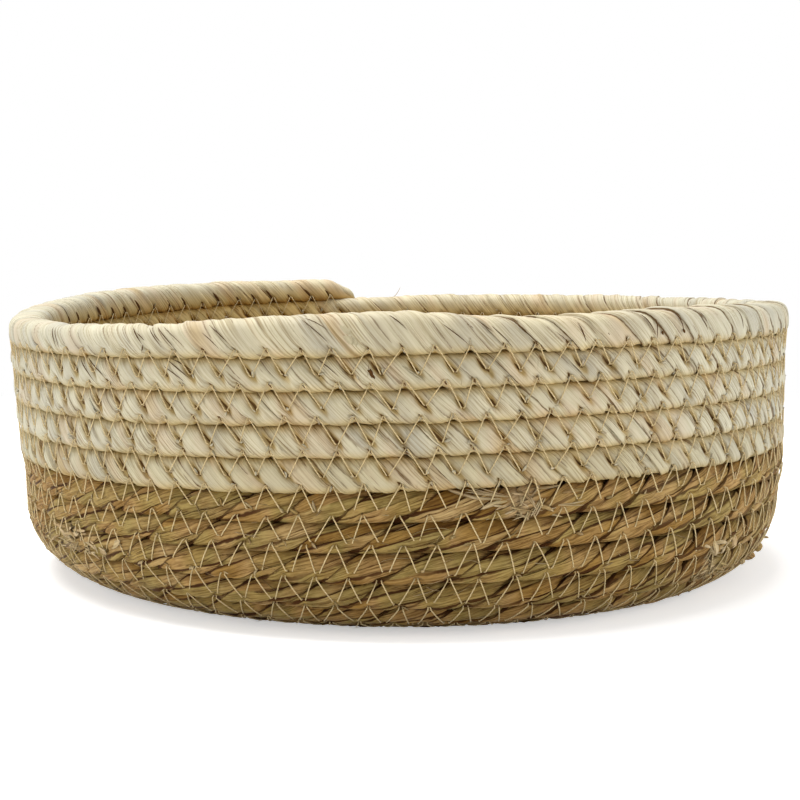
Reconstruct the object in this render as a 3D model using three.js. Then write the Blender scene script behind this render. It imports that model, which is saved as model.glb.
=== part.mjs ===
// Coiled seagrass basket. One long coil is sewn edge to edge: it starts at the middle of the
// flat base, turns up round a soft corner and climbs the wall to the rim. The lower coil is
// twisted seagrass rope, the upper coil is a straw bundle wrapped in corn husk.
// Millimetres, +Z up, the basket's axis on the origin, the underside on z = 0, front on -Y.

import * as THREE from 'three';

// Overall size
const RIM_DIAMETER = 320;
const CORNER_RADIUS = 25;
const WALL_FLARE = THREE.MathUtils.degToRad(1.8);

// Seagrass rope of the base, the corner and the lower wall
const ROPE_PITCH = 10;
const ROPE_DEPTH = 10;

// Husk-wrapped coil of the upper wall, and its last turn, the thicker rim
const HUSK_PITCH = 11;
const HUSK_DEPTH = 12;
const HUSK_TURNS = 5;
const RIM_SIZE = 13;
const RIM_SWELL_TURNS = 0.05;
const RIM_TAPER_TURNS = 0.018;
const RIM_TIP_SIZE = 4;

// Straw core inside the husk
const HUSK_THICKNESS = 1.2;
const CORE_CLEARANCE = 0.3;

// Neighbouring turns and the butted ends of the lengths stay this far apart
const SEAM_GAP = 0.34;

// Height of the seam between rope and husk at the front of the wall, and where the coil ends
const ROPE_TOP_HEIGHT = 50.8;
const RIM_CENTRE_HEIGHT = 101.3;
const END_ANGLE = THREE.MathUtils.degToRad(98.7);
const FRONT_ANGLE = THREE.MathUtils.degToRad(-90);

// The sewn basket isn't quite level. Above the corner its wall comes to stand this much over
// or under true at the front, right, back and left, with a slight twist between them.
const RISE_FRONT = 0.6;
const RISE_RIGHT = 3.2;
const RISE_BACK = 3;
const RISE_LEFT = -4.3;
const RISE_TWIST = -1.2;
const RISE_FROM_HEIGHT = 10;
const RISE_FULL_HEIGHT = 50;

// Where each seagrass rope starts, in turns before the rope meets the husk coil
const ROPE_SPLICES = [12.9, 9.3, 6.1, 4.85, 3.61, 2.337, 1.1, 0.5175];

// The coil starts as a tapered tip, curled once round a small eye at the middle of the base
const EYE_RADIUS = 0.6;
const START_TIP_TURNS = 0.6;

// Where one husk wrap or straw bundle ends and the next starts, in turns after the rope. The
// wrap of the rim is the last turn.
const HUSK_SPLICES = [1.18, 2.07, 3.12];
const CORE_SPLICE = 2.6;

// Facets
const STEPS_PER_TURN = 30;
const RIM_STEPS_PER_TURN = 60;
const TAPER_STEPS_PER_TURN = 240;
const INNER_STEPS_PER_TURN = 15;
const INNER_RADIUS = 70;
const FLAT_SHARE_OF_BASE_ROPE = 0.55;
const FLAT_SHARE_OF_BORE = 0.5;
const SHORTEST_STEP = 0.02;

// The skin is the surface through the middle of the coil. Along its outline, s runs from the
// axis over the flat base, round the corner and up the flared wall.
const BASE_HEIGHT = ROPE_DEPTH / 2;
const CORNER_TURN = Math.PI / 2 - WALL_FLARE;
const CORNER_LENGTH = CORNER_RADIUS * CORNER_TURN;
const CORNER_TOP_HEIGHT = BASE_HEIGHT + CORNER_RADIUS * (1 - Math.cos(CORNER_TURN));
const RIM_SKIN_RADIUS = (RIM_DIAMETER - RIM_SIZE) / 2;
const CORNER_TOP_RADIUS =
  RIM_SKIN_RADIUS - (RIM_CENTRE_HEIGHT - CORNER_TOP_HEIGHT) * Math.tan(WALL_FLARE);
const FLAT_RADIUS = CORNER_TOP_RADIUS - CORNER_RADIUS * Math.sin(CORNER_TURN);
const CORNER_END = FLAT_RADIUS + CORNER_LENGTH;

// Turns are counted along the coil from the middle of the base. At the front the seam above
// the rope has its known height, which settles where the rope stops and the coil ends.
const FRONT_TURNS_BEFORE_END = (FRONT_ANGLE + 2 * Math.PI - END_ANGLE) / (2 * Math.PI);
const ROPE_TOP_LENGTH = CORNER_END + (ROPE_TOP_HEIGHT - CORNER_TOP_HEIGHT) / Math.cos(WALL_FLARE);
const ROPE_TURNS = (ROPE_TOP_LENGTH - HUSK_PITCH * (1 - FRONT_TURNS_BEFORE_END)) / ROPE_PITCH;
const END_TURN = ROPE_TURNS + HUSK_TURNS;

function skinPoint(s, outward) {
  const turn = THREE.MathUtils.clamp((s - FLAT_RADIUS) / CORNER_RADIUS, 0, CORNER_TURN);
  const onBase = Math.min(s, FLAT_RADIUS);
  const onWall = Math.max(s - CORNER_END, 0);
  const r = onBase + CORNER_RADIUS * Math.sin(turn) + onWall * Math.sin(WALL_FLARE);
  const z = BASE_HEIGHT + CORNER_RADIUS * (1 - Math.cos(turn)) + onWall * Math.cos(WALL_FLARE);
  return new THREE.Vector2(r + outward * Math.sin(turn), z - outward * Math.cos(turn));
}

function rise(z, angle) {
  const share = (z - RISE_FROM_HEIGHT) / (RISE_FULL_HEIGHT - RISE_FROM_HEIGHT);
  const mean = (RISE_FRONT + RISE_RIGHT + RISE_BACK + RISE_LEFT) / 4;
  const toRight = (RISE_RIGHT - RISE_LEFT) / 2;
  const toBack = (RISE_BACK - RISE_FRONT) / 2;
  const bothSides = (RISE_RIGHT + RISE_LEFT) / 2 - mean;
  const tilt = toRight * Math.cos(angle) + toBack * Math.sin(angle);
  const warp = bothSides * Math.cos(2 * angle) + RISE_TWIST * Math.sin(2 * angle);
  return (mean + tilt + warp) * THREE.MathUtils.clamp(share, 0, 1);
}

function placePoint(s, outward, angle) {
  const p = skinPoint(s, outward);
  return new THREE.Vector3(
    p.x * Math.cos(angle),
    p.x * Math.sin(angle),
    p.y + rise(p.y, angle)
  );
}

// The coil rises clockwise, seen from above
function coilAngle(turn) {
  return END_ANGLE + 2 * Math.PI * (END_TURN - turn);
}

// Length along the skin to the lower edge of the coil, the inner edge where it lies flat
function lowerEdge(turn) {
  if (turn <= ROPE_TURNS) return Math.max(ROPE_PITCH * turn, EYE_RADIUS);
  return ROPE_PITCH * ROPE_TURNS + HUSK_PITCH * (turn - ROPE_TURNS);
}

// Width and depth of the coil: the rope grows from its starting tip, and the rim swells from
// the husk coil and tapers off at its end
function coilSize(turn) {
  if (turn < ROPE_TURNS) {
    const width = lowerEdge(turn + 1) - lowerEdge(turn);
    return { width, depth: ROPE_DEPTH * Math.min(width / ROPE_PITCH, 1) };
  }
  const swell = THREE.MathUtils.smoothstep(turn, END_TURN - 1, END_TURN - 1 + RIM_SWELL_TURNS);
  const taper = THREE.MathUtils.smoothstep(turn, END_TURN - RIM_TAPER_TURNS, END_TURN);
  const width = THREE.MathUtils.lerp(HUSK_PITCH, RIM_SIZE, swell);
  const depth = THREE.MathUtils.lerp(HUSK_DEPTH, RIM_SIZE, swell);
  return {
    width: THREE.MathUtils.lerp(width, RIM_TIP_SIZE, taper),
    depth: THREE.MathUtils.lerp(depth, RIM_TIP_SIZE, taper)
  };
}

// Outlines of the coil across its length, as unit loops: x along the skin, y outward
function octagonLoop() {
  const reach = 1 / Math.cos(Math.PI / 8);
  const loop = [];
  for (let i = 0; i < 8; i++) {
    const a = Math.PI / 8 + i * Math.PI / 4;
    loop.push(new THREE.Vector2(reach * Math.cos(a), reach * Math.sin(a)));
  }
  return loop;
}

function hexagonLoop(flatShare) {
  return [
    new THREE.Vector2(1, 0),
    new THREE.Vector2(flatShare, 1),
    new THREE.Vector2(-flatShare, 1),
    new THREE.Vector2(-1, 0),
    new THREE.Vector2(-flatShare, -1),
    new THREE.Vector2(flatShare, -1)
  ];
}

const COIL_LOOP = octagonLoop();
const BASE_LOOP = hexagonLoop(FLAT_SHARE_OF_BASE_ROPE);
const BORE_LOOP = hexagonLoop(FLAT_SHARE_OF_BORE);

// One ring of points round the coil in the upright plane through the axis
function ringAtStep(turn, loop, inset) {
  const size = coilSize(turn);
  const middle = lowerEdge(turn) + size.width / 2;
  const halfWidth = (size.width - SEAM_GAP) / 2 - inset;
  const halfDepth = size.depth / 2 - inset;
  const angle = coilAngle(turn);
  return loop.map((p) => placePoint(middle + p.x * halfWidth, p.y * halfDepth, angle));
}

// Between two steps a ring lies on the straight facets, so butted ends stay flush
function ringAt(turn, loop, inset, stepsPerTurn) {
  const steps = (END_TURN - turn) * stepsPerTurn;
  const before = ringAtStep(END_TURN - Math.ceil(steps) / stepsPerTurn, loop, inset);
  const after = ringAtStep(END_TURN - Math.floor(steps) / stepsPerTurn, loop, inset);
  const share = Math.ceil(steps) - steps;
  return before.map((p, i) => p.clone().lerp(after[i], share));
}

function ringsBetween(from, to, loop, inset, stepsPerTurn) {
  const rings = [ringAt(from, loop, inset, stepsPerTurn)];
  const firstStep = Math.floor((END_TURN - from) * stepsPerTurn - SHORTEST_STEP);
  const lastStep = Math.ceil((END_TURN - to) * stepsPerTurn + SHORTEST_STEP);
  for (let step = firstStep; step >= lastStep; step--) {
    rings.push(ringAtStep(END_TURN - step / stepsPerTurn, loop, inset));
  }
  rings.push(ringAt(to, loop, inset, stepsPerTurn));
  return rings;
}

// A closed coil between two ends, with an optional bore that is open at its first end and,
// unless it stops short, at its last end
class CoilGeometry extends THREE.BufferGeometry {
  constructor(rings, bore = null, boreIsBlind = false) {
    super();
    this.points = [];
    this.faces = [];
    const outside = this.addRings(rings);
    this.addSide(outside, false);
    if (bore) {
      const inside = this.addRings(bore);
      this.addSide(inside, true);
      this.addCap(outside[0], inside[0], false);
      if (boreIsBlind) {
        this.addCap(inside.at(-1), null, false);
        this.addCap(outside.at(-1), null, true);
      } else {
        this.addCap(outside.at(-1), inside.at(-1), true);
      }
    } else {
      this.addCap(outside[0], null, false);
      this.addCap(outside.at(-1), null, true);
    }
    this.setFromPoints(this.points);
    this.setIndex(this.faces);
    this.computeVertexNormals();
  }

  addRings(rings) {
    return rings.map((ring) => ring.map((p) => this.points.push(p) - 1));
  }

  addFace(a, b, c, flip) {
    this.faces.push(...(flip ? [a, c, b] : [a, b, c]));
  }

  addSide(rings, flip) {
    for (let i = 0; i + 1 < rings.length; i++) {
      const count = rings[i].length;
      for (let j = 0; j < count; j++) {
        const next = (j + 1) % count;
        this.addFace(rings[i][j], rings[i + 1][next], rings[i][next], flip);
        this.addFace(rings[i][j], rings[i + 1][j], rings[i + 1][next], flip);
      }
    }
  }

  // The cut end of the coil, with the bore's outline as a hole in it
  addCap(outline, hole, flip) {
    const origin = this.points[outline[0]];
    const across = this.points[outline[2]].clone().sub(origin).normalize();
    const normal = this.points[outline[4]].clone().sub(origin).cross(across).normalize();
    const up = across.clone().cross(normal);
    const flat = (i) => {
      const d = this.points[i].clone().sub(origin);
      return new THREE.Vector2(d.dot(across), d.dot(up));
    };
    const contour = outline.map(flat);
    const holes = hole ? [[...hole].reverse().map(flat)] : [];
    const order = hole ? [...outline, ...[...hole].reverse()] : outline;
    const turned = THREE.ShapeUtils.isClockWise(contour);
    for (const [a, b, c] of THREE.ShapeUtils.triangulateShape(contour, holes)) {
      this.addFace(order[a], order[b], order[c], flip !== turned);
    }
  }
}

const seagrass = new THREE.MeshStandardMaterial({
  name: 'seagrass',
  color: 0x9c8155,
  roughness: 0.8,
  metalness: 0
});
const cornHusk = new THREE.MeshStandardMaterial({
  name: 'corn_husk',
  color: 0xe6d9bd,
  roughness: 0.7,
  metalness: 0
});
const straw = new THREE.MeshStandardMaterial({
  name: 'straw',
  color: 0xc9b079,
  roughness: 0.85,
  metalness: 0
});

// Half of the gap left at a butted end, in turns
function endGap(turn) {
  const r = skinPoint(lowerEdge(turn), 0).x;
  return SEAM_GAP / 2 / (2 * Math.PI * r);
}

function ropeLength(index, from, to) {
  const outerEdge = lowerEdge(to + 1);
  const stepsPerTurn = outerEdge < INNER_RADIUS ? INNER_STEPS_PER_TURN : STEPS_PER_TURN;
  const loop = outerEdge < FLAT_RADIUS + ROPE_PITCH ? BASE_LOOP : COIL_LOOP;
  const rings = ringsBetween(from + endGap(from), to - endGap(to), loop, 0, stepsPerTurn);
  const mesh = new THREE.Mesh(new CoilGeometry(rings), seagrass);
  mesh.name = `seagrass_rope_${index}`;
  return mesh;
}

function seagrassRopes() {
  const group = new THREE.Group();
  const cuts = ROPE_SPLICES.map((turnsBefore) => ROPE_TURNS - turnsBefore);
  const ends = [-START_TIP_TURNS, ...cuts, ROPE_TURNS];
  for (let i = 0; i + 1 < ends.length; i++) {
    group.add(ropeLength(i + 1, ends[i], ends[i + 1]));
  }
  return group;
}

function huskWrap(name, from, to) {
  const start = from + endGap(from);
  const end = to - endGap(to);
  const rings = ringsBetween(start, end, COIL_LOOP, 0, STEPS_PER_TURN);
  const bore = ringsBetween(start, end, BORE_LOOP, HUSK_THICKNESS, STEPS_PER_TURN);
  const mesh = new THREE.Mesh(new CoilGeometry(rings, bore), cornHusk);
  mesh.name = name;
  return mesh;
}

// The rim's wrap closes over its tapered end, beyond the end of the straw
function huskRim(from) {
  const start = from + endGap(from);
  const taper = END_TURN - RIM_TAPER_TURNS;
  const rings = ringsBetween(start, taper, COIL_LOOP, 0, RIM_STEPS_PER_TURN);
  const tip = ringsBetween(taper, END_TURN, COIL_LOOP, 0, TAPER_STEPS_PER_TURN);
  const bore = ringsBetween(start, taper, BORE_LOOP, HUSK_THICKNESS, STEPS_PER_TURN);
  const mesh = new THREE.Mesh(
    new CoilGeometry([...rings, ...tip.slice(1)], bore, true),
    cornHusk
  );
  mesh.name = 'husk_wrap_rim';
  return mesh;
}

function huskWraps() {
  const group = new THREE.Group();
  const ends = [0, ...HUSK_SPLICES, HUSK_TURNS - 1].map((after) => ROPE_TURNS + after);
  for (let i = 0; i + 1 < ends.length; i++) {
    group.add(huskWrap(`husk_wrap_${i + 1}`, ends[i], ends[i + 1]));
  }
  group.add(huskRim(ends.at(-1)));
  return group;
}

function strawBundle(name, from, to) {
  const inset = HUSK_THICKNESS + CORE_CLEARANCE;
  const rings = ringsBetween(from + endGap(from), to - endGap(to), BORE_LOOP, inset, STEPS_PER_TURN);
  const mesh = new THREE.Mesh(new CoilGeometry(rings), straw);
  mesh.name = name;
  return mesh;
}

function strawCore() {
  const group = new THREE.Group();
  const splice = ROPE_TURNS + CORE_SPLICE;
  group.add(strawBundle('straw_core_lower', ROPE_TURNS, splice));
  group.add(strawBundle('straw_core_upper', splice, END_TURN - RIM_TAPER_TURNS));
  return group;
}

const basket = new THREE.Group();
basket.name = 'seagrass_basket';
basket.add(seagrassRopes(), huskWraps(), strawCore());

export default basket;
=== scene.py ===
import math

import bpy
import numpy as np
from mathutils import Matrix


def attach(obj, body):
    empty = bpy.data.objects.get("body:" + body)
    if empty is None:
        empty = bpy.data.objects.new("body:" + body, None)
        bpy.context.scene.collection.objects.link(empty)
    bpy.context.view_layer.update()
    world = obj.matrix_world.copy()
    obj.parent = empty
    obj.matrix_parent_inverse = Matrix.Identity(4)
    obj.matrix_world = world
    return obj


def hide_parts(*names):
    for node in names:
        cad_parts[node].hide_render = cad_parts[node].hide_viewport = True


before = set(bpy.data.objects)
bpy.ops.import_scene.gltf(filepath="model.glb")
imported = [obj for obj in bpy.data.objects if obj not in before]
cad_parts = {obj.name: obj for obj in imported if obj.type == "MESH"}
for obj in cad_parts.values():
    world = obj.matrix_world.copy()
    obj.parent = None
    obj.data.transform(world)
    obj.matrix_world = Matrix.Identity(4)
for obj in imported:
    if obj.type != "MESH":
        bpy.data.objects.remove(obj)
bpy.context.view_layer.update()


# The coil. The whole basket is one long coil that starts at the middle of the flat base, turns
# up round a soft corner and climbs the wall clockwise to the rim. The skin is the surface
# through its middle: s runs along the skin from the axis, and angle goes round the axis.
FULL_ROUND = 2 * math.pi
RIM_DIAMETER = 0.320
CORNER_RADIUS = 0.025
WALL_FLARE = math.radians(1.8)
ROPE_PITCH = 0.010
ROPE_DEPTH = 0.010
HUSK_PITCH = 0.011
HUSK_DEPTH = 0.012
HUSK_TURNS = 5
RIM_SIZE = 0.013
RIM_SWELL_TURNS = 0.05
RIM_TAPER_TURNS = 0.018
RIM_TIP_SIZE = 0.004
ROPE_TOP_HEIGHT = 0.0508
RIM_CENTRE_HEIGHT = 0.1013
END_ANGLE = math.radians(98.7)
FRONT_ANGLE = math.radians(-90)
EYE_RADIUS = 0.0006
START_TIP_TURNS = 0.6
COUNTING_STEPS = 4000
FEWEST_STEPS = 4

# The wall isn't level: how far it stands above true at each side, and where that begins.
RISE_FRONT = 0.0006
RISE_RIGHT = 0.0032
RISE_BACK = 0.003
RISE_LEFT = -0.0043
RISE_TWIST = -0.0012
RISE_FROM_HEIGHT = 0.010
RISE_FULL_HEIGHT = 0.050

# It isn't quite round either: its lower part sits to the right, and the last rope bulges there.
LOWER_ASIDE = 0.0016
ASIDE_UP_TO_HEIGHT = 0.040
UPRIGHT_FROM_HEIGHT = 0.100
LAST_ROPE_BULGE = 0.0017
LAST_ROPE_HEIGHT = 0.0408
BULGE_REACH = 0.0080
BULGE_FALL_OFF = 6

# Where the rim is wound thinner: the share of its turn, and how much thinner in millimetres.
MILLIMETRES = 1000.0
RIM_THINNER = np.array([
    (0.00, 0.0), (0.05, 1.3), (0.15, 1.0), (0.22, 1.4), (0.30, 1.5), (0.40, 1.2), (0.45, 2.2),
    (0.475, 3.0), (0.50, 1.8), (0.523, -0.4), (0.55, 0.0), (0.58, 0.8), (0.61, 2.3), (0.66, 3.0),
    (0.75, 3.1), (0.79, 1.7), (0.83, 0.5), (0.88, 0.5), (0.93, 1.5), (0.97, 2.4), (1.00, 2.4),
])

BASE_HEIGHT = ROPE_DEPTH / 2
CORNER_TURN = math.pi / 2 - WALL_FLARE
CORNER_TOP_HEIGHT = BASE_HEIGHT + CORNER_RADIUS * (1 - math.cos(CORNER_TURN))
RIM_SKIN_RADIUS = (RIM_DIAMETER - RIM_SIZE) / 2
CORNER_TOP_RADIUS = RIM_SKIN_RADIUS - (RIM_CENTRE_HEIGHT - CORNER_TOP_HEIGHT) * math.tan(WALL_FLARE)
FLAT_RADIUS = CORNER_TOP_RADIUS - CORNER_RADIUS * math.sin(CORNER_TURN)
CORNER_END = FLAT_RADIUS + CORNER_RADIUS * CORNER_TURN
FRONT_TURNS_BEFORE_END = (FRONT_ANGLE + FULL_ROUND - END_ANGLE) / FULL_ROUND
ROPE_TOP_LENGTH = CORNER_END + (ROPE_TOP_HEIGHT - CORNER_TOP_HEIGHT) / math.cos(WALL_FLARE)
ROPE_TURNS = (ROPE_TOP_LENGTH - HUSK_PITCH * (1 - FRONT_TURNS_BEFORE_END)) / ROPE_PITCH
END_TURN = ROPE_TURNS + HUSK_TURNS


def skin_point(s, outward):
    """The radius and height of a point s along the skin and some way outward from it."""
    turn = np.clip((s - FLAT_RADIUS) / CORNER_RADIUS, 0, CORNER_TURN)
    on_base = np.minimum(s, FLAT_RADIUS)
    on_wall = np.maximum(s - CORNER_END, 0)
    r = on_base + CORNER_RADIUS * np.sin(turn) + on_wall * math.sin(WALL_FLARE)
    z = BASE_HEIGHT + CORNER_RADIUS * (1 - np.cos(turn)) + on_wall * math.cos(WALL_FLARE)
    return r + outward * np.sin(turn), z - outward * np.cos(turn)


def rise(z, angle):
    """How far the wall stands above true: it isn't quite level, and a little twisted."""
    share = np.clip((z - RISE_FROM_HEIGHT) / (RISE_FULL_HEIGHT - RISE_FROM_HEIGHT), 0, 1)
    mean = (RISE_FRONT + RISE_RIGHT + RISE_BACK + RISE_LEFT) / 4
    tilt = (RISE_RIGHT - RISE_LEFT) / 2 * np.cos(angle) + (RISE_BACK - RISE_FRONT) / 2 * np.sin(angle)
    both_sides = (RISE_RIGHT + RISE_LEFT) / 2 - mean
    warp = both_sides * np.cos(2 * angle) + RISE_TWIST * np.sin(2 * angle)
    return (mean + tilt + warp) * share


def smooth_step(x, start, end):
    """From nothing at the start to one at the end, without a corner."""
    share = np.clip((x - start) / (end - start), 0, 1)
    return share * share * (3 - 2 * share)


def place(s, outward, angle):
    """A point of the basket: its lower part sits to the right, where the last rope also bulges."""
    r, z = skin_point(s, outward)
    aside = LOWER_ASIDE * (1 - smooth_step(z, ASIDE_UP_TO_HEIGHT, UPRIGHT_FROM_HEIGHT))
    from_last = np.clip(1 - ((z - LAST_ROPE_HEIGHT) / BULGE_REACH) ** 2, 0, 1)
    to_right = np.clip(np.cos(angle), 0, 1) ** BULGE_FALL_OFF
    r = r + LAST_ROPE_BULGE * from_last * to_right
    return np.stack([r * np.cos(angle) + aside, r * np.sin(angle), z + rise(z, angle)], axis=-1)


def coil_angle(turn):
    """The angle round the axis, where turns are counted from the middle of the base."""
    return END_ANGLE + FULL_ROUND * (END_TURN - turn)


def lower_edge(turn):
    """How far along the skin the lower edge of the coil lies."""
    on_rope = np.maximum(ROPE_PITCH * np.minimum(turn, ROPE_TURNS), EYE_RADIUS)
    return on_rope + HUSK_PITCH * np.maximum(turn - ROPE_TURNS, 0)


def husk_size(turn, size, thinner):
    """A size of the husk coil, which swells into the rim and tapers at its end."""
    swell = smooth_step(turn, END_TURN - 1, END_TURN - 1 + RIM_SWELL_TURNS)
    wound = size + (RIM_SIZE - size) * swell - thinner
    return wound + (RIM_TIP_SIZE - wound) * smooth_step(turn, END_TURN - RIM_TAPER_TURNS, END_TURN)


def coil_width(turn):
    """How much of the skin the coil takes up, from its lower edge to its upper one."""
    rope = lower_edge(turn + 1) - lower_edge(turn)
    shares, thinned = RIM_THINNER[:, 0], RIM_THINNER[:, 1] / MILLIMETRES
    thinner = np.interp(turn - END_TURN + 1, shares, thinned)
    return np.where(turn < ROPE_TURNS, rope, husk_size(turn, HUSK_PITCH, thinner))


def coil_depth(turn):
    """How thick the coil is through the wall."""
    rope = ROPE_DEPTH * np.minimum(coil_width(turn) / ROPE_PITCH, 1)
    return np.where(turn < ROPE_TURNS, rope, husk_size(turn, HUSK_DEPTH, 0))


def turns_apart(start, end, spacing):
    """Turns between start and end that lie about the given spacing apart along the coil."""
    fine = np.linspace(start, end, COUNTING_STEPS)
    radius, _ = skin_point(lower_edge(fine) + coil_width(fine) / 2, 0)
    run = np.concatenate([[0], np.cumsum(np.diff(fine) * FULL_ROUND * (radius[1:] + radius[:-1]) / 2)])
    count = max(int(round(run[-1] / spacing)), FEWEST_STEPS)
    return np.interp(np.linspace(0, run[-1], count + 1), run, fine)


# The sewing line. A zigzag machine joins each turn to the one before it: the needle goes
# through the new turn a little past the seam and through the older turn near its middle, and
# the same path lies on the outside and on the inside of the basket.
STITCH_LENGTH = 0.0106
HOLE_PAST_SEAM = 0.0028
HOLE_BEFORE_SEAM = 0.0058
HOLE_STRAY = 0.00045
HOLE_STRAY_SHARE = 0.09
HUSK_BITE = 0.00030
ROPE_EDGE_BITE = 0.00045
ROPE_MIDDLE_BITE = 0.00090
BITE_STRAY_SHARE = 0.6
THREAD_RADIUS = 0.00023
THREAD_LIFT_SHARE = 0.6
THREAD_SINK = 0.0009
LEG_SHARES = np.array([0, 0.05, 0.36, 0.64, 0.95, 1.0])
TAUT_STEPS = 25
FIRST_SEAM_TURN = 1.0
UNSEWN_TIP_TURNS = 0.01
COIL_PLUMPNESS = 1.03
COIL_TOP_NARROWING = 0.05
SQUARENESS_BELOW = 4.0
SQUARENESS_ABOVE = 3.0
HIGHEST_CLIMB = 0.9
SEWING_SEED = 41

sewing_rng = np.random.default_rng(SEWING_SEED)
seam_turns = turns_apart(FIRST_SEAM_TURN, END_TURN - UNSEWN_TIP_TURNS, STITCH_LENGTH / 2)


def coil_bulge(s, seam, above, below):
    """How far the coil stands out from the skin at s, on either side of a seam."""
    over = s >= seam
    half = np.where(over, above[0], below[0]) / 2
    middle = np.where(over, seam + half, seam - half)
    depth = np.where(over, above[1], below[1]) / 2
    climb = np.clip((s - middle) / half, -1, 1)
    power = np.where(climb < 0, SQUARENESS_BELOW, SQUARENESS_ABOVE)
    rounded = (1 - np.abs(climb) ** power) ** (1 / power)
    return depth * COIL_PLUMPNESS * (1 - COIL_TOP_NARROWING * climb) * rounded


def taut_line(height):
    """The line of a thread pulled straight over a row of heights."""
    hull = [0]
    for i in range(1, len(height)):
        while len(hull) > 1:
            a, b = hull[-2], hull[-1]
            if (height[b] - height[a]) * (i - a) > (height[i] - height[a]) * (b - a):
                break
            hull.pop()
        hull.append(i)
    return np.interp(np.arange(len(height)), hull, height[hull])


def sew(side):
    """Points of every stitch leg on one side, one row per leg, and its needle holes, each with
    the turn of coil that it goes through and how far it lies up that coil's section."""
    count = len(seam_turns)
    jitter = sewing_rng.normal(0, 1, (count, 4))
    turn = seam_turns
    seam = lower_edge(turn)
    upper = np.arange(count) % 2 == 0
    radius, _ = skin_point(seam, 0)
    turn_per_metre = 1 / (FULL_ROUND * radius)
    hole_turn = turn + jitter[:, 0] * HOLE_STRAY * turn_per_metre
    reach = np.where(upper, HOLE_PAST_SEAM, -HOLE_BEFORE_SEAM)
    hole_s = seam + reach * (1 + HOLE_STRAY_SHARE * jitter[:, 1])
    in_husk = np.where(upper, turn, turn - 1) >= ROPE_TURNS
    bite = np.where(in_husk, HUSK_BITE, np.where(upper, ROPE_EDGE_BITE, ROPE_MIDDLE_BITE))
    before = bite * (1 + BITE_STRAY_SHARE * jitter[:, 2].clip(-1.2, 2)) * turn_per_metre
    after = bite * (1 + BITE_STRAY_SHARE * jitter[:, 3].clip(-1.2, 2)) * turn_per_metre
    from_turn, to_turn = hole_turn[:-1] + after[:-1], hole_turn[1:] - before[1:]
    fine = np.linspace(0, 1, TAUT_STEPS)
    legs = []
    for i in range(count - 1):
        leg_turn = from_turn[i] + (to_turn[i] - from_turn[i]) * fine
        leg_s = hole_s[i] + (hole_s[i + 1] - hole_s[i]) * fine
        line = lower_edge(leg_turn)
        above = coil_width(leg_turn), coil_depth(leg_turn)
        below = coil_width(leg_turn - 1), coil_depth(leg_turn - 1)
        bulge = coil_bulge(leg_s, line, above, below)
        height = taut_line(bulge + THREAD_RADIUS * THREAD_LIFT_SHARE)
        height[0] -= THREAD_SINK
        height[-1] -= THREAD_SINK
        row_turn = np.interp(LEG_SHARES, fine, leg_turn)
        row_s = np.interp(LEG_SHARES, fine, leg_s)
        row_height = np.interp(LEG_SHARES, fine, height)
        legs.append(place(row_s, side * row_height, coil_angle(row_turn)))
    bulge = coil_bulge(hole_s, seam, (coil_width(turn), coil_depth(turn)),
                       (coil_width(turn - 1), coil_depth(turn - 1)))
    holes = place(hole_s, side * bulge, coil_angle(hole_turn))
    coil = np.where(upper, hole_turn, hole_turn - 1)
    climb = (hole_s - lower_edge(coil)) / coil_width(coil) * 2 - 1
    climb = np.arcsin(climb.clip(-HIGHEST_CLIMB, HIGHEST_CLIMB))
    return np.array(legs), holes, np.stack([coil, climb], axis=1)


def dots(name, points, edges=(), **numbers):
    """An unseen mesh of loose points, each with its named numbers, for a node tree to work on."""
    mesh = bpy.data.meshes.new(name)
    mesh.from_pydata(points.tolist(), list(edges), [])
    for label, values in numbers.items():
        values = np.asarray(values)
        if values.ndim == 2:
            mesh.attributes.new(label, "FLOAT_VECTOR", "POINT").data.foreach_set("vector", values.ravel())
        else:
            kind = "INT" if np.issubdtype(values.dtype, np.integer) else "FLOAT"
            mesh.attributes.new(label, kind, "POINT").data.foreach_set("value", values)
    made = bpy.data.objects.new(name, mesh)
    bpy.context.collection.objects.link(made)
    return made


outer_legs, outer_holes, outer_marks = sew(1)
inner_legs, inner_holes, inner_marks = sew(-1)
leg_turns = seam_turns[:-1]
all_legs = np.concatenate([outer_legs, inner_legs])
leg_count, leg_points = all_legs.shape[:2]
first_points = np.arange(leg_count)[:, None] * leg_points + np.arange(leg_points - 1)[None, :]
leg_edges = np.stack([first_points.ravel(), first_points.ravel() + 1], axis=1).tolist()
sewing_guide = dots("sewing_guide", all_legs.reshape(-1, 3), leg_edges)
hole_guide = dots("hole_guide", np.concatenate([outer_holes, inner_holes]))
edge_hole_guide = dots("edge_hole_guide", np.concatenate([outer_holes[::2], inner_holes[::2]]))
middle_hole_guide = dots("middle_hole_guide", np.concatenate([outer_holes[1::2], inner_holes[1::2]]))


# The seagrass rope of the base, the corner and the lower wall: two strands of flat olive-brown
# leaves laid together, about 10 mm thick, spliced from nine lengths. Each strand is swept along
# the coil, turning round the rope's middle once every lay, and its leaves overlap like shingles.
LAY_LENGTH = 0.040
ROPE_SPLICES = [12.9, 9.3, 6.1, 4.85, 3.61, 2.337, 1.1, 0.5175]
ROPE_OVERLAP = 0.006
END_ROUNDING = 0.005
SHORTEST_RADIUS = 0.01
ROPE_ROW_SPACING = 0.0015
BASE_ROW_SPACING = 0.0024
ROPE_SIDES = 46
BASE_SIDES = 28
STRAND_SEED = 3.7
ROPE_SEED = 4.1
ROPE_PHASE = 0.13
STRAND_PLUMPNESS = 1.08
STRAND_GROOVE = 0.185
LEAVES_PER_STRAND = 6
LEAVES_ON_BASE = 7
LEAF_STEP = 0.0008
LEAF_CROWDING = 0.45
LEAF_TWIST_SHARE = 0.64
ROPE_WANDER = 0.24
STRAND_WANDER = 0.03
LEAF_BEND = 0.13
HIDDEN_SIDE_SHARE = 0.08
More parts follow.
